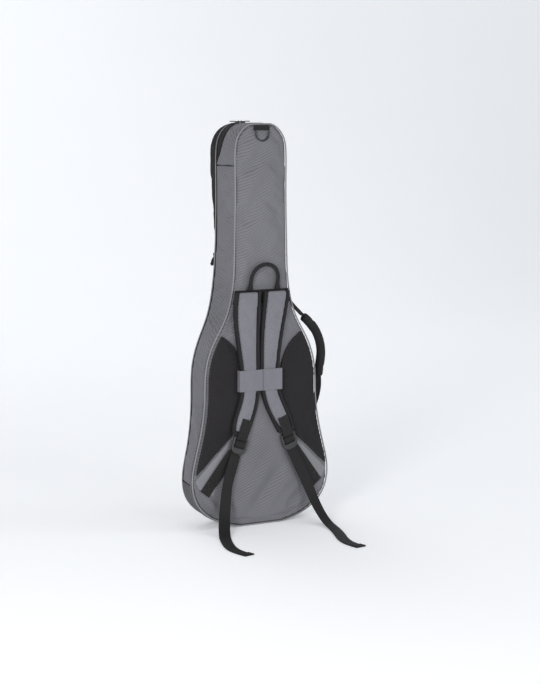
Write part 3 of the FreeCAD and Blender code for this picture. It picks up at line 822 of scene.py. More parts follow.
tails = {
    "wide": 0.030,
    "thick": 0.0019,
    "hem": 0.026,
    "left": ((-0.0836, -0.0654, 0.1957), (-0.098, -0.0705, 0.160), (-0.112, -0.0715, 0.120),
             (-0.119, -0.074, 0.073), (-0.1355, -0.097, 0.0275), (-0.1575, -0.1385, 0.0014),
             (-0.181, -0.1915, 0.0014), (-0.202, -0.247, 0.0014), (-0.210, -0.299, 0.0014),
             (-0.200, -0.342, 0.0014)),
    "right": ((0.0836, -0.0654, 0.1957), (0.098, -0.0705, 0.160), (0.117, -0.0720, 0.1225),
              (0.1345, -0.078, 0.077), (0.1425, -0.103, 0.0355), (0.1425, -0.147, 0.007),
              (0.133, -0.200, 0.0014), (0.112, -0.2555, 0.0014), (0.088, -0.310, 0.0014),
              (0.076, -0.364, 0.0014), (0.0825, -0.404, 0.0014)),
    "top": {"left": (0.94, 0, -0.34), "right": (0.94, 0, 0.34)},
    "floor": {"left": (0.93, -0.36, 0), "right": (0.95, 0.3, 0)},
    "exit": {"left": (-0.084, -0.078, 0.196), "right": (0.084, -0.078, 0.196)},
    "length": {"left": 0.446, "right": 0.496},
}


def tailAcross(hand):
    top, floor = (np.array(tails[k][hand], float) for k in ("top", "floor"))
    return lambda share, point: top + (floor - top) * min(1.0, max(0.0, (0.11 - point[2]) / 0.11))


for hand in ("left", "right"):
    path = smoothPath(tails[hand], 0.003)
    tail = strip("tail" + hand.capitalize(), path, tailAcross(hand), tails["wide"], tails["thick"])
    hemPath = path[-int(tails["hem"] / 0.003):] + np.array([0, 0, 0.0019])
    hem = strip("tailHem" + hand.capitalize(), hemPath, tailAcross(hand), tails["wide"] - 0.001, 0.0017)
    along = np.gradient(hemPath, axis=0)
    rows = []
    for spot in (1, 3):
        side = np.cross(along[spot], [0, 0, 1])
        side /= np.linalg.norm(side)
        rows.append([hemPath[spot] + side * t + np.array([0, 0, 0.0008]) for t in (-0.0125, 0.0125)])
    seam = stitches("tailSeam" + hand.capitalize(), rows, (0, 0, 1), material=blackThread)
    ride(tail, "straps", "webbing", "tail_" + hand)
    ride(hem, "straps", "webbing")
    ride(seam, "straps", "webbing")
print("strap tails")

# ---- the back panel, a padded sheet sewn in behind the piping

backSkin = {"inset": 0.0006, "front": -0.0514, "rear": -0.0435, "voxel": 0.006, "swell": 0.008,
            "growth": 0.030}
backRim = rimOf("back_panel", -1)
backPanel = slabFrom("backPanelPad", insetLoop(backRim, backSkin["inset"]), backSkin["front"],
                     backSkin["rear"])
remesh(backPanel, backSkin["voxel"])
soften(backPanel, 0.5, 2)
spots = readPoints(backPanel)
fromRim = rimGap(backRim, spots)
covered = nearest(
    treeOf("mesh_pad_left", "mesh_pad_right", "yoke_patch", "anchor_patch_left", "anchor_patch_right",
           "hang_loop_tab", "lower_webbing_left", "lower_webbing_right", "grab_handle"), spots)
sewn = np.clip(1.2 - fromRim / 0.016, 0, 1)
sewn[spots[:, 1] > -0.0495] = 1
room = np.minimum(0.0002 + np.clip(covered - 0.002, 0, 1) * 0.28, backSkin["swell"])
blowUp(backPanel, sewn, room, pressure=1.6, growth=backSkin["growth"])
backFolds = (  # from (x, z), to (x, z), half width, height
    ((-66, 925), (-8, 1002), 13, 3.6), ((-62, 895), (0, 975), 9, -2.7), ((-67, 846), (24, 950), 15, 4.2),
    ((-60, 820), (40, 915), 12, -3.0), ((-66, 745), (10, 820), 14, 2.8), ((-30, 700), (55, 790), 16, -2.3),
    ((-64, 690), (-20, 745), 9, 2.3), ((20, 650), (66, 705), 12, 2.3), ((-60, 640), (-44, 690), 7, 2.1),
    ((-78, 34), (48, 196), 17, 6.5), ((-48, 30), (74, 168), 13, -4.6), ((-8, 22), (96, 140), 17, 4.9),
    ((-60, 120), (10, 225), 12, 3.4), ((-30, 190), (14, 290), 12, 3.0), ((34, 60), (112, 118), 12, -3.4),
    ((-172, 104), (-126, 42), 8, 4.9), ((-158, 96), (-108, 34), 7, -3.8), ((-150, 64), (-120, 22), 8, 3.8),
    ((-116, 84), (-96, 22), 9, 4.2), ((-104, 92), (-84, 26), 7, -3.4), ((174, 100), (138, 44), 8, 4.2),
    ((152, 96), (116, 36), 8, -3.4), ((142, 88), (100, 26), 9, 3.6), ((-6, 330), (-26, 262), 9, 2.1),
)
crease(backPanel, backFolds, wave=0.0016, hold=np.clip(room / 0.004, 0, 1) * (1 - 0.8 * sewn))
divide(backPanel)
dress(backPanel, greyTwill, 80)
ride(backPanel, "shell", "grey_twill", "back_panel")
print("back panel")


def quilt(name, loop, y0, y1, voxel, hold, cap, pressure=1.6, growth=0.02, shape=None):
    # a padded sheet from an outline: block, remesh, cloth, one subdivision
    piece = slabFrom(name, loop, y0, y1)
    remesh(piece, voxel)
    soften(piece, 0.5, 2)
    if shape:
        writePoints(piece, shape(readPoints(piece)))
    spots = readPoints(piece)
    blowUp(piece, hold(spots), cap(spots), pressure=pressure, growth=growth)
    divide(piece)
    return piece


# the lining and foam behind it show only when the lid is open
backInside = rimOf("back_lining", 1)
backLining = quilt(
    "backLiningPad", insetLoop(backInside, 0.0004), -0.0478, -0.0380, 0.007,
    lambda p: np.where(p[:, 1] < -0.0420, 1.0, np.clip(1.2 - rimGap(backInside, p) / 0.02, 0, 1)),
    lambda p: np.full(len(p), 0.0009), growth=0.01)
dress(backLining, plushPile, 80)
ride(backLining, "shell", "plush", "back_lining", "back_foam")

frontInside = rimOf("front_lining", -1)
frontLining = quilt(
    "frontLiningPad", insetLoop(frontInside, 0.0004), 0.0378, 0.0488, 0.007,
    lambda p: np.where(p[:, 1] > 0.0420, 1.0, np.clip(1.2 - rimGap(frontInside, p) / 0.02, 0, 1)),
    lambda p: np.full(len(p), 0.0009), growth=0.01)
dress(frontLining, plushPile, 80)
ride(frontLining, "lid", "plush", "front_lining", "front_foam")
print("linings")

# ---- side walls: padded gussets, cap, zip tapes and the base bumper

wallNodes = ("gusset_left", "gusset_right", "crown_cap", "crown_zip_panel", "side_zip_tape", "base_bumper")
wallTrees = treeOf(*wallNodes)
walls = (  # piece, node, finish, slot, voxel, swell, growth
    ("gussetLeft", "gusset_left", greyTwill, "grey_twill", 0.005, 0.0050, 0.030),
    ("gussetRight", "gusset_right", greyTwill, "grey_twill", 0.005, 0.0050, 0.030),
    ("crownCap", "crown_cap", greyTwill, "grey_twill", 0.004, 0.0025, 0.015),
    ("crownZipPanel", "crown_zip_panel", blackCloth, "black_fabric", 0.004, 0.0012, 0.010),
    ("sideZipTape", "side_zip_tape", blackCloth, "black_fabric", 0.004, 0.0008, 0.008),
    ("baseBumper", "base_bumper", bumperTwill, "dark_twill", 0.005, 0.0030, 0.012),
)
sideFolds = (  # from (y, z), to (y, z), half width, height
    ((44, 905), (-14, 894), 6, 1.4), ((44, 716), (-16, 706), 5, 2.0), ((44, 648), (0, 634), 5, 2.8),
    ((44, 640), (6, 622), 4, -2.0), ((44, 604), (-6, 624), 5, 2.8), ((40, 590), (-20, 606), 5, -2.2),
    ((30, 556), (-34, 584), 6, 2.7), ((44, 540), (-4, 516), 6, 2.8), ((42, 528), (-10, 500), 5, -2.1),
    ((20, 496), (-36, 520), 6, 2.5), ((44, 466), (4, 436), 7, 2.7), ((30, 440), (-30, 416), 6, -2.0),
    ((44, 392), (-22, 372), 8, 2.2), ((36, 330), (-30, 316), 9, 2.0), ((44, 262), (-20, 282), 8, 2.2),
    ((40, 210), (-30, 196), 7, -2.0), ((42, 176), (-26, 150), 6, 2.4),
)
for name, node, finish, slotName, voxel, swell, growth in walls:
    wall = copyNodes(name, node)
    remesh(wall, voxel)
    soften(wall, 0.4, 1)
    spots = readPoints(wall)
    facing = np.array([v.normal[:] for v in wall.data.vertices])
    facingWall = np.zeros(len(spots))
    for i, (point, way) in enumerate(zip(spots, facing)):
        start = Vector(point) + Vector(way) * 0.0015
        facingWall[i] = any(tree.ray_cast(start, Vector(way), 0.6)[0] is not None for tree in wallTrees)
    low, high = spots.min(0), spots.max(0)
    edge = np.minimum(spots[:, 1] - low[1], high[1] - spots[:, 1])
    if node != "base_bumper":
        edge = np.minimum(edge, np.where(spots[:, 2] > high[2] - 0.03, 1, spots[:, 2] - low[2]))
        if node.startswith("gusset"):
            edge = np.minimum(edge, high[2] - spots[:, 2])
    else:
        edge = np.minimum(edge, high[2] - spots[:, 2])
    hold = np.clip(1.25 - edge / 0.012, 0, 1)
    hold[(facingWall > 0) | (np.abs(facing[:, 1]) > 0.6)] = 1
    if node == "base_bumper":
        hold[spots[:, 2] < 0.006] = 1
    cap = np.full(len(spots), swell)
    if node == "gusset_right":
        patches = treeOf("side_handle_patch_upper", "side_handle_patch_lower")
        cap = np.minimum(cap, 0.0002 + nearest(patches, spots) * 0.2)
    blowUp(wall, hold, cap, pressure=1.2, growth=growth)
    if node.startswith("gusset"):
        crease(wall, sideFolds, plane=(1, 2), wave=0.0010, hold=(1 - hold) * np.clip(cap / 0.004, 0, 1))
    divide(wall)
    dress(wall, finish, 70)
    ride(wall, "shell", slotName, node)
print("side walls")

# ---- piping round both panels

piping = {"radius": 0.0019, "step": 0.004}
for name, node, body, depth in (("backPiping", "back_piping", "shell", -0.0496),
                                ("frontPiping", "front_piping", "lid", 0.0494)):
    loop = insetLoop(rimOf(node, -1, piping["step"]), piping["radius"])
    cord = tubeAlong(name, [(x, depth, z) for x, z in loop], piping["radius"], closed=True,
                     material=pipingCloth)
    ride(cord, body, "light_piping", node)
ridgeLoop = insetLoop(rimOf("back_piping", -1, 0.004), 0.0022)
ridge = tubeAlong("gussetRidge", [(x, -0.0385, z) for x, z in ridgeLoop], 0.0013, closed=True,
                  sides=8, material=greyTwill)
ride(ridge, "shell", "grey_twill")
print("piping")

# ---- air mesh pads

airPad = {"voxel": 0.003, "edge": 0.006, "swell": 0.0042, "growth": 0.012, "hem": 0.0035}
strapTrees = treeOf("strap_left", "strap_right", "strap_wrap", "tail_left", "tail_right", "buckle_left",
                    "buckle_right", "lower_webbing_left", "lower_webbing_right")
for hand in ("left", "right"):
    node = "mesh_pad_" + hand
    loop = rimOf(node, -1, 0.004)
    pad = copyNodes("meshPad" + hand.capitalize(), node)
    remesh(pad, airPad["voxel"])
    soften(pad, 0.5, 3)
    spots = readPoints(pad)
    hold = np.clip(1.1 - rimGap(loop, spots) / airPad["edge"], 0, 1)
    hold[spots[:, 1] > -0.0535] = 1
    cap = np.minimum(airPad["swell"], 0.0008 + np.clip(nearest(strapTrees, spots) - 0.002, 0, 1) * 0.3)
    blowUp(pad, hold, cap, pressure=3.5, growth=airPad["growth"])
    divide(pad)
    dress(pad, airMesh, 80)
    ride(pad, "shell", "air_mesh", node)
    hem = insetLoop(loop, airPad["hem"])
    line = onto(pad, [(x, -0.06, z) for x, z in np.vstack([hem, hem[:1]])], (0, 1, 0))
    seam = stitches("meshPadSeam" + hand.capitalize(), [line], (0, -1, 0), material=blackThread)
    ride(seam, "shell", "air_mesh")
print("mesh pads")

# ---- shoulder straps with their bindings

shoulderStrap = {"voxel": 0.004, "edge": 0.010, "swell": 0.0034, "growth": 0.03,
                 "wrapLow": 0.354, "wrapHigh": 0.413}


def pullUp(obj, low=0.585, high=0.603, reach=0.0085):
    # the top end is drawn up under the yoke's seam
    points = readPoints(obj)
    share = np.clip((points[:, 2] - low) / (high - low), 0, 1)
    points[:, 2] += reach * share * share * (3 - 2 * share)
    writePoints(obj, points)


for hand in ("left", "right"):
    node = "strap_" + hand
    loop = rimOf(node, -1, 0.004)
    strap = copyNodes("strapPad" + hand.capitalize(), node)
    remesh(strap, shoulderStrap["voxel"])
    soften(strap, 0.5, 2)
    spots = readPoints(strap)
    hold = np.clip(1.15 - rimGap(loop, spots) / shoulderStrap["edge"], 0, 1)
    hold[spots[:, 1] > -0.0600] = 1
    fromWrap = np.maximum(np.maximum(shoulderStrap["wrapLow"] - spots[:, 2],
                                     spots[:, 2] - shoulderStrap["wrapHigh"]), 0)
    cap = np.minimum(shoulderStrap["swell"], 0.0002 + fromWrap * 0.12)
    blowUp(strap, hold, cap, pressure=4.0, growth=shoulderStrap["growth"])
    side = -1 if hand == "left" else 1
    crease(strap, ((((side * 46 - 18), 566), ((side * 46 + 6), 540), 5, -2.2),
                   (((side * 40 - 12), 500), ((side * 40 + 16), 482), 6, 1.8),
                   (((side * 40 - 22), 436), ((side * 40 + 4), 424), 5, -1.9),
                   (((side * 60 - 14), 330), ((side * 60 + 12), 316), 6, 1.6)),
           wave=0.0006, hold=np.clip(cap / 0.003, 0, 1) * (1 - hold))
    pullUp(strap)
    divide(strap)
    dress(strap, strapTwill, 80)
    ride(strap, "straps", "grey_twill", node)
    binding = copyNodes("strapBinding" + hand.capitalize(), "strap_binding_" + hand)
    remesh(binding, 0.0019)
    soften(binding, 0.5, 5)
    spots = readPoints(binding)
    ripple = np.array([noise.noise(Vector(p) * 55) for p in spots]) * 0.0005
    normals = np.array([v.normal[:] for v in binding.data.vertices])
    writePoints(binding, spots + normals * ripple[:, None])
    makeActive(binding)
    bpy.ops.object.mode_set(mode="EDIT")
    bpy.ops.mesh.select_all(action="SELECT")
    bpy.ops.mesh.bisect(plane_co=(0, 0, 0.6025), plane_no=(0, 0, 1), use_fill=True, clear_outer=True)
    bpy.ops.object.mode_set(mode="OBJECT")
    pullUp(binding, 0.585, 0.6025, 0.0085)
    dress(binding, blackCloth, 70)
    ride(binding, "straps", "black_fabric", "strap_binding_" + hand)
print("shoulder straps")


def softSheet(name, node, voxel, finish, body, slotName, wave=0.0006, size=40, times=3):
    # a thin sewn piece: its sharp block edges rolled over and its face a little uneven
    sheet = copyNodes(name, node)
    remesh(sheet, voxel)
    soften(sheet, 0.5, times)
    spots = readPoints(sheet)
    normals = np.array([v.normal[:] for v in sheet.data.vertices])
    lift = np.array([noise.noise(Vector(p) * size) for p in spots]) * wave
    writePoints(sheet, spots + normals * lift[:, None])
    dress(sheet, finish, 70)
    return ride(sheet, body, slotName, node)


wrapFolds = (  # from (x, z), to (x, z), half width, height
    ((-58, 409), (-54, 358), 4, -1.0), ((-34, 409), (-38, 360), 5, 1.0), ((-18, 408), (-16, 358), 4, -0.9),
    ((12, 409), (16, 360), 4, 0.8), ((28, 408), (26, 358), 4, -0.8), ((42, 409), (43, 360), 3, 0.8))
for name, node, body in (("strapWrap", "strap_wrap", "straps"), ("wrapFlap", "wrap_flap", "wrap_flap")):
    sheet = softSheet(name, node, 0.0010, strapTwill, body, "grey_twill", wave=0.0004, size=30)
    crease(sheet, wrapFolds)
softSheet("yokePatch", "yoke_patch", 0.0013, blackCloth, "shell", "black_fabric")
for hand in ("left", "right"):
    softSheet("anchorPatch" + hand.capitalize(), "anchor_patch_" + hand, 0.0010, lightTwill, "shell",
              "light_twill", wave=0.0003)
softSheet("hangLoopTab", "hang_loop_tab", 0.0010, blackCloth, "shell", "webbing", wave=0.0003)
softSheet("handlePatchUpper", "side_handle_patch_upper", 0.0010, blackCloth, "shell", "webbing",
          wave=0.0003)
softSheet("handlePatchLower", "side_handle_patch_lower", 0.0010, blackCloth, "shell", "webbing",
          wave=0.0003)
softSheet("lidEdgeTape", "lid_edge_tape", 0.0009, blackCloth, "lid", "black_fabric", wave=0.0, times=1)
for name, node, voxel in (("neckCradle", "neck_cradle", 0.003), ("endPinBlock", "end_pin_block", 0.003),
                          ("headstockPad", "headstock_pad", 0.003)):
    block = softSheet(name, node, voxel, foamSkin, "shell", "foam", wave=0.0007, size=60, times=4)
print("wrap, patches and blocks")

# ---- webbing: tabs, folds in the buckles, lower straps

buckleSpot = {"left": -0.0685, "right": 0.0685, "y": -0.068, "z": 0.236, "tilt": math.radians(19)}


def inBuckle(hand, points):
    # (sideways, depth, height) in the buckle's own frame to the bag's frame
    side = -1 if hand == "left" else 1
    c, s = math.cos(buckleSpot["tilt"]), math.sin(buckleSpot["tilt"])
    return [(buckleSpot[hand] + u * c - side * h * s, buckleSpot["y"] + d,
             buckleSpot["z"] + side * u * s + h * c)
            for u, d, h in points]


tabLook = {"wide": 0.030, "thick": 0.0019}
for hand in ("left", "right"):
    side = -1 if hand == "left" else 1
    across = (math.cos(buckleSpot["tilt"]), 0, side * math.sin(buckleSpot["tilt"]))
    label = hand.capitalize()
    fold = inBuckle(hand, [
        (0, -0.0052, 0.050), (0, -0.0053, 0.034), (0, -0.0052, 0.016), (0, -0.0052, 0.002),
        (0, -0.0046, -0.0050), (0, 0, -0.0066), (0, 0.0046, -0.0050), (0, 0.0052, 0.0024)])
    tab = strip("strapTab" + label, smoothPath(fold, 0.0015), lambda share, point: across, tabLook["wide"],
                tabLook["thick"])
    ride(tab, "straps", "webbing", "strap_tab_" + hand)
    box = [[(-0.0122, -0.0063, 0.0475), (0.0122, -0.0063, 0.0475), (0.0122, -0.0063, 0.020),
            (-0.0122, -0.0063, 0.020), (-0.0122, -0.0063, 0.0475)],
           [(-0.0122, -0.0063, 0.0475), (0.0122, -0.0063, 0.020)],
           [(0.0122, -0.0063, 0.0475), (-0.0122, -0.0063, 0.020)]]
    seam = stitches("strapTabSeam" + label, [inBuckle(hand, line) for line in box], (0, -1, 0),
                    material=blackThread)
    ride(seam, "straps", "webbing")
    loop = inBuckle(hand, [
        (0.001, 0.0066, -0.0400), (0.001, 0.0063, -0.0300), (0, 0.0058, -0.0180), (0, 0.0040, -0.0098),
        (0, -0.0004, -0.0070), (0, -0.0044, -0.0096), (0, -0.0050, -0.0165), (0, -0.0034, -0.0222),
        (0, 0.0012, -0.0262), (0, 0.0038, -0.0312), (0.0008, 0.0040, -0.0380),
        (0.0012, 0.0026, -0.0430)])
    link = strip("buckleFold" + label, smoothPath(loop, 0.0015), lambda share, point: across, 0.0295,
                 0.0018)
    ride(link, "straps", "webbing")
    low = [(side * 0.1690, -0.0548, 0.0967), (side * 0.1495, -0.0563, 0.1220),
           (side * 0.1310, -0.0578, 0.146), (side * 0.1120, -0.0592, 0.1705), (side * 0.0960, -0.0606, 0.1915),
           (side * 0.0860, -0.0630, 0.2010), (side * 0.0795, -0.0643, 0.2075)]
    web = strip("lowerWebbing" + label, smoothPath(low, 0.003), lambda share, point: (side * 0.79, 0, 0.61),
                0.030, 0.0019)
    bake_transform(web)
    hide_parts("lower_webbing_" + hand)
    toward = Vector((side * -0.61, -0.03, 0.79)).normalized()
    aside = Vector((side * 0.79, 0, 0.61)).normalized()
    corner = Vector((side * 0.168, -0.0560, 0.098))
    square = [corner + aside * a + toward * b for a, b in (
        (-0.0122, 0.003), (0.0122, 0.003), (0.0122, 0.028), (-0.0122, 0.028), (-0.0122, 0.003))]
    seam = stitches("anchorSeam" + label, [square, [square[0], square[2]], [square[1], square[3]]],
                    (0, -1, 0), material=blackThread)
    ride(seam, "shell", "webbing")
print("webbing")

# ---- ladder-lock buckles: the frame with rounded edges and a ridged middle bar

for hand in ("left", "right"):
    buckle = copyNodes("ladderLock" + hand.capitalize(), "buckle_" + hand)
    roundEdges(buckle, 0.0011, 3, 30)
    ridges = []
    for k in range(4):
        height = -0.0140 - k * 0.0013
        ends = inBuckle(hand, [(-0.0150, -0.0026, height), (0, -0.0029, height), (0.0150, -0.0026, height)])
        ridges.append(tubeAlong("ridge", smoothPath(ends, 0.003), 0.0006, sides=6, material=nylon))
    deselectAll()
    for ridge in ridges + [buckle]:
        ridge.select_set(True)
    bpy.context.view_layer.objects.active = buckle
    bpy.ops.object.join()
    dress(buckle, nylon, 35)
    ride(buckle, "buckle_" + hand, "plastic", "buckle_" + hand)
print("buckles")

# ---- grab handle above the straps, hang loop at the crown

grab = {"x": 0.003, "y": -0.059, "z": 0.618, "radius": 0.0395, "leg": 0.026, "lean": math.radians(12),
        "wide": 0.0112, "thick": 0.0052}


def onHandle(across, up, out=0.0):
    return (grab["x"] + across, grab["y"] - up * math.sin(grab["lean"]) - out,
            grab["z"] + up * math.cos(grab["lean"]))


arch = [onHandle(-0.0405, -0.004), onHandle(-0.0400, 0.006), onHandle(-0.0395, 0.017),
        onHandle(-0.0395, 0.026)]
arch += [onHandle(-math.cos(a) * grab["radius"], grab["leg"] + math.sin(a) * grab["radius"])
         for a in np.linspace(0.18, math.pi - 0.18, 11)]
arch += [onHandle(0.0395, 0.026), onHandle(0.0395, 0.017), onHandle(0.0400, 0.006),
         onHandle(0.0405, -0.004)]
line = smoothPath(arch, 0.003)


def handleSide(share, point):
    way = Vector((point[0] - grab["x"], 0, point[2] - (grab["z"] + grab["leg"])))
    return (way.x, 0, way.z) if way.z > 0 else (way.x, 0, 0)


handle = strip("grabHandle", line, handleSide, grab["wide"], grab["thick"], rows=7,
               widthAt=lambda share: 1.0 + 0.75 * max(0.0, 1 - min(share, 1 - share) / 0.10))
divide(handle)
dress(handle, blackWebbing, 60)
ride(handle, "grab_handle", "webbing", "grab_handle")
edges = []
for across in (-0.0042, 0.0042):
    edges.append([Vector(p) + Vector(handleSide(0, p)).normalized() * across + Vector((0, -0.0027, 0))
                  for p in line[6:-6]])
ride(stitches("grabHandleSeam", edges, (0, -1, 0), material=blackThread), "grab_handle", "webbing")

ring = [(-0.019, -0.059, 1.0215), (-0.019, -0.059, 1.0165)]
ring += [(math.cos(a) * 0.019, -0.059, 1.0146 + math.sin(a) * 0.0195)
         for a in np.linspace(math.pi + 0.15, 2 * math.pi - 0.15, 9)]
ring += [(0.019, -0.059, 1.0165), (0.019, -0.059, 1.0215)]
loop = tubeAlong("hangLoop", smoothPath(ring, 0.0015), 0.0023, sides=14, material=nylon)
ride(loop, "hang_loop", "plastic", "hang_loop")
print("handle and loop")

# ---- side handle: a stuffed grip on webbing that runs under the patches

gripNode = copyNodes("sideHandleGrip", "side_handle_grip")
remesh(gripNode, 0.0035)
soften(gripNode, 0.5, 3)
spots = readPoints(gripNode)
ends = np.minimum(np.linalg.norm(spots - np.array([0.152, -0.008, 0.533]), axis=1),
                  np.linalg.norm(spots - np.array([0.199, -0.008, 0.372]), axis=1))
blowUp(gripNode, np.clip(1.3 - ends / 0.022, 0, 1), np.full(len(spots), 0.0022), pressure=3.0, growth=0.03)
divide(gripNode)
dress(gripNode, blackCloth, 80)
ride(gripNode, "side_handle", "black_fabric", "side_handle_grip")
acrossHandle = lambda share, point: (0, 1, 0)
upper = [(0.0955, -0.008, 0.6060), (0.0985, -0.008, 0.5960), (0.1035, -0.008, 0.5840),
         (0.118, -0.008, 0.567), (0.135, -0.008, 0.551), (0.1515, -0.008, 0.5350)]
lower = [(0.1995, -0.008, 0.3740), (0.2005, -0.008, 0.358), (0.1995, -0.008, 0.340), (0.194, -0.008, 0.317),
         (0.1855, -0.008, 0.2940), (0.1830, -0.008, 0.2820), (0.1845, -0.008, 0.268)]
for name, route, node, start, end in (
        ("sideWebbingUpper", upper, "side_handle_webbing_upper", upper[1], upper[3]),
        ("sideWebbingLower", lower, "side_handle_webbing_lower", lower[5], lower[3])):
    band = strip(name, smoothPath(route, 0.003), acrossHandle, 0.027, 0.0019)
    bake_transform(band)
    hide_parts(node)
print("side handle")

# ---- lid: front panel, two pockets, their zips

frontRim = rimOf("front_panel", 1)
frontOuter = insetLoop(rimOf("front_piping", -1), 0.0)
headLoop = clipLoop(insetLoop(frontOuter, 0.0025), 0.7365, 1.0368)
lowLoop = clipLoop(insetLoop(frontOuter, 0.0040), 0.0305, 0.7155)


def frontRoom(points):
    gap = np.minimum(rimGap(headLoop, points), rimGap(lowLoop, points))
    inPocket = [inside((x, z), headLoop) or inside((x, z), lowLoop) for x, _, z in points]
    return np.where(inPocket, 0.0001, np.minimum(0.0002 + gap * 0.2, 0.004))


def inside(point, loop):
    x, z = point
    hit = False
    for (x0, z0), (x1, z1) in zip(loop, np.roll(loop, -1, axis=0)):
        if (z0 > z) != (z1 > z) and x < x0 + (z - z0) * (x1 - x0) / (z1 - z0):
            hit = not hit
    return hit


frontPanel = quilt(
    "frontPanelPad", insetLoop(frontRim, 0.0006), 0.0455, 0.0515, 0.0055,
    lambda p: np.where(p[:, 1] < 0.0495, 1.0, np.clip(1.2 - rimGap(frontRim, p) / 0.014, 0, 1)), frontRoom)
dress(frontPanel, greyTwill, 80)
ride(frontPanel, "lid", "grey_twill", "front_panel")

headProfile = (  # height, depth
    (0.736, 0.0030), (0.760, 0.0085), (0.790, 0.0140), (0.850, 0.0275), (0.905, 0.0372), (0.985, 0.0372),
    (1.005, 0.0335), (1.020, 0.0285), (1.037, 0.0170))


def headShape(points):
    depth = np.interp(points[:, 2], *zip(*headProfile))
    edge = np.clip(rimGap(headLoop, points) / 0.009, 0, 1)
    depth = depth * (0.86 + 0.14 * np.sqrt(edge))
    share = (points[:, 1] - 0.0524) / 0.0371
    return np.column_stack([points[:, 0], 0.0524 + share * depth, points[:, 2]])


headPocket = quilt(
    "headstockPocketPad", headLoop, 0.0524, 0.0895, 0.0045,
    lambda p: np.where(p[:, 1] < 0.0545, 1.0, 0.05),
    lambda p: np.minimum(0.0025, 0.0002 + np.abs(p[:, 2] - 0.944) * 0.08), pressure=1.5, growth=0.025,
    shape=headShape)
dress(headPocket, blackCloth, 80)
ride(headPocket, "lid", "black_fabric", "headstock_pocket")


def lowShape(points):
    edge = np.clip(rimGap(lowLoop, points) / 0.016, 0, 1)
    depth = 0.0136 * (0.35 + 0.65 * np.sqrt(edge))
    share = (points[:, 1] - 0.0524) / 0.0130
    return np.column_stack([points[:, 0], 0.0524 + share * depth, points[:, 2]])


lowPocket = quilt(
    "frontPocketPad", lowLoop, 0.0524, 0.0654, 0.006,
    lambda p: np.where(p[:, 1] < 0.0560, 1.0, np.clip(1.0 - rimGap(lowLoop, p) / 0.012, 0, 1)),
    lambda p: np.minimum(0.005, 0.0002 + np.abs(p[:, 2] - 0.700) * 0.1), pressure=1.6, growth=0.03,
    shape=lowShape)
dress(lowPocket, greyTwill, 80)
ride(lowPocket, "lid", "grey_twill", "front_pocket")
print("lid and pockets")


def zipChain(name, path, out, body, pitch=0.0021, reach=0.0013, tall=0.0012, long=0.0015, lift=0.0):
    # one coil bead, repeated along a line of even points
    path = np.asarray(path, float)
    along = runAlong(path)
    verts, faces = [], []
    for where in np.arange(pitch, along[-1] - pitch, pitch):
        here, there = (np.array([np.interp(t, along, path[:, i]) for i in range(3)])
                       for t in (where, where + 0.001))
        way = (there - here) / np.linalg.norm(there - here)
        normal = np.asarray(out(here) if callable(out) else out, float)
        normal = normal - way * normal.dot(way)
        normal /= np.linalg.norm(normal)
        side = np.cross(way, normal)
        base = len(verts)
        for u, v, w in ((-1, -1, 0), (1, -1, 0), (1, 1, 0), (-1, 1, 0), (-.7, -.8, 1), (.7, -.8, 1),
                        (.7, .8, 1), (-.7, .8, 1)):
            verts.append(here + way * u * long / 2 + side * v * reach + normal * (w * tall + lift))
        faces += [tuple(base + i for i in f) for f in
                  ((3, 2, 1, 0), (4, 5, 6, 7), (0, 1, 5, 4), (1, 2, 6, 5), (2, 3, 7, 6), (3, 0, 4, 7))]
    chain = newPiece(name, verts, faces)
    outwards(chain)
    roundEdges(chain, 0.0002, 1, 30)
    dress(chain, nylon, 50)
    return ride(chain, body, "plastic")


def zipRun(loop, depth):
    # the opening part of the outline: from the left end of the base, round the right side,
    # to the left of the crown
    count = len(loop)
    start = int(np.argmin(np.hypot(loop[:, 0] + 0.098, loop[:, 1] - 0.006)))
    line = []
    for i in range(count):
        x, z = loop[(start + i) % count]
        if i > 20 and x < -0.02 and z < 0.935:
            break
        line.append((x, depth, z))
    return line


def awayFromMiddle(point):
    spine = np.array([0.0, min(max(point[2], 0.16), 0.97)])
    way = np.array([point[0], point[2]]) - spine
    return (way[0], 0, way[1])


shellEdge = insetLoop(rimOf("lid_edge_tape", -1, 0.004), 0.0006)
zipChain("mainZipShell", zipRun(shellEdge, 0.0441), awayFromMiddle, "shell", reach=0.0012)
lidEdge = insetLoop(rimOf("front_piping", -1, 0.004), 0.0012)
zipChain("mainZipLid", zipRun(lidEdge, 0.0468), awayFromMiddle, "lid", reach=0.0006)

for name, node, height, half, piece in (("headstockZip", "headstock_zip", 0.944, 0.0535, headPocket),
                                        ("frontPocketZip", "front_zip", 0.700, 0.0740, lowPocket)):
    points = [(x, 0.2, height) for x in np.linspace(-half, half, 25)]
    tree = treeOf(piece.name)[0]
    landed = [tree.ray_cast(Vector(p), Vector((0, -1, 0)), 0.3)[0] for p in points]
    tapeLine = [(v.x, v.y + 0.0002, v.z) for v in landed if v is not None]
    tape = strip(name + "Tape", smoothPath(tapeLine, 0.004), lambda share, point: (0, 0, 1), 0.017, 0.0009,
                 rows=5)
    ride(tape, "lid", "black_fabric", node)
    zipChain(name + "Chain", [(x, y + 0.0004, z) for x, y, z in tapeLine], (0, 1, 0), "lid", reach=0.0022)

for node, slotName, finish in (("main_slider_left", "zip_metal", enamel),
                               ("main_slider_right", "zip_metal", enamel),
                               ("pocket_slider", "zip_metal", enamel),
                               ("headstock_slider", "zip_metal", enamel),
                               ("main_pull_left", "plastic", nylon), ("main_pull_right", "plastic", nylon),
                               ("pocket_pull", "plastic", nylon), ("headstock_pull", "plastic", nylon)):
    words = node.split("_")
    metal = copyNodes(words[0] + "".join(w.capitalize() for w in words[1:]), node)
    roundEdges(metal, 0.0006, 2, 30)
    dress(metal, finish, 35)
    ride(metal, node, slotName, node)
print("zips")

# ---- stitching

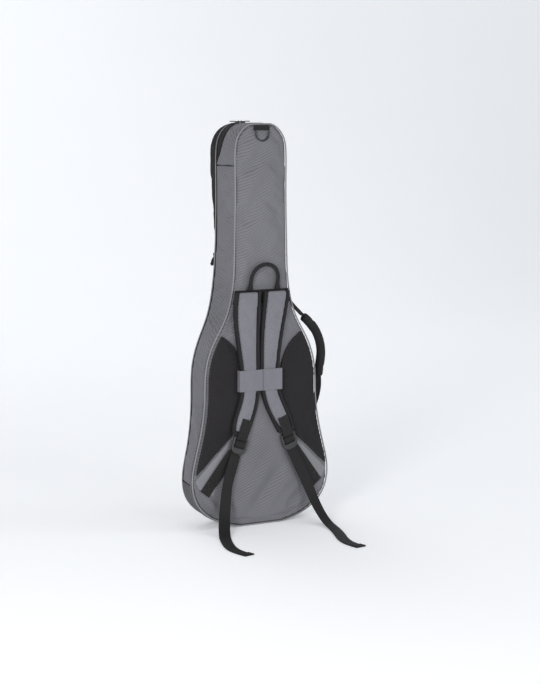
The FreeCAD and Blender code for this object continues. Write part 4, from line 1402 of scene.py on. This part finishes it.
hemRun = insetLoop(backRim, 0.0075, 0.006)
line = onto(backPanel, [(x, -0.06, z) for x, z in np.vstack([hemRun, hemRun[:1]])], (0, 1, 0))
ride(stitches("backPanelSeam", [line], (0, -1, 0)), "shell", "grey_twill")
for hand in ("left", "right"):
    strap = bpy.data.objects["strapPad" + hand.capitalize()]
    run = insetLoop(rimOf("strap_" + hand, -1, 0.004), 0.0028)
    rows = onto(strap, [(x, -0.09, z) for x, z in np.vstack([run, run[:1]])], (0, 1, 0))
    rows = [p for p in rows if not shoulderStrap["wrapLow"] < p[2] < shoulderStrap["wrapHigh"]]
    splits = [[]]
    for a, b in zip(rows, rows[1:]):
        splits[-1].append(a)
        if math.dist(a, b) > 0.02:
            splits.append([])
    rows = [r for r in splits if len(r) > 3]
    ride(stitches("strapSeam" + hand.capitalize(), rows, (0, -1, 0)), "straps", "grey_twill")
print("stitching")

# ---- floor that rises into a backdrop

backdrop = {"wide": 14, "deep": 9, "middle": -1.5, "bend": 2.2, "rise": 4, "steps": 8}
bpy.ops.mesh.primitive_plane_add(size=1)
floor = bpy.context.object
floor.name = "studioFloor"
floor.data.transform(Matrix.Diagonal((backdrop["wide"], backdrop["deep"], 1, 1)))
floor.data.transform(Matrix.Translation((0, backdrop["middle"], 0)))
makeActive(floor)
bpy.ops.object.mode_set(mode="EDIT")
bpy.ops.mesh.select_mode(type="EDGE")
bpy.ops.mesh.select_all(action="DESELECT")
bpy.ops.object.mode_set(mode="OBJECT")
for edge in floor.data.edges:
    edge.select = all(floor.data.vertices[i].co.y > 2.9 for i in edge.vertices)
bpy.ops.object.mode_set(mode="EDIT")
for k in range(backdrop["steps"]):
    a0, a1 = (math.radians((k + n) * 90 / backdrop["steps"]) for n in (0, 1))
    bpy.ops.mesh.extrude_region_move(TRANSFORM_OT_translate={
        "value": (0, backdrop["bend"] * (math.sin(a1) - math.sin(a0)),
                  backdrop["bend"] * (math.cos(a0) - math.cos(a1)))})
bpy.ops.mesh.extrude_region_move(TRANSFORM_OT_translate={"value": (0, 0, backdrop["rise"])})
bpy.ops.object.mode_set(mode="OBJECT")
floorMaterial, tree, shader, place = startMaterial("studioPaper", 0.85, specular=0.1)
shade = useGroup(tree, shadeGroup, place.outputs["Object"], Size=0.6)
tree.links.new(blendShades(tree, shade.outputs["Patch"], (0.885, 0.893, 0.905), (0.915, 0.92, 0.93)),
               shader.inputs["Base Color"])
shader.inputs["Emission Color"].default_value = (0.93, 0.96, 1.0, 1)
shader.inputs["Emission Strength"].default_value = 0.2
dress(floor, floorMaterial, 60)
print("floor")
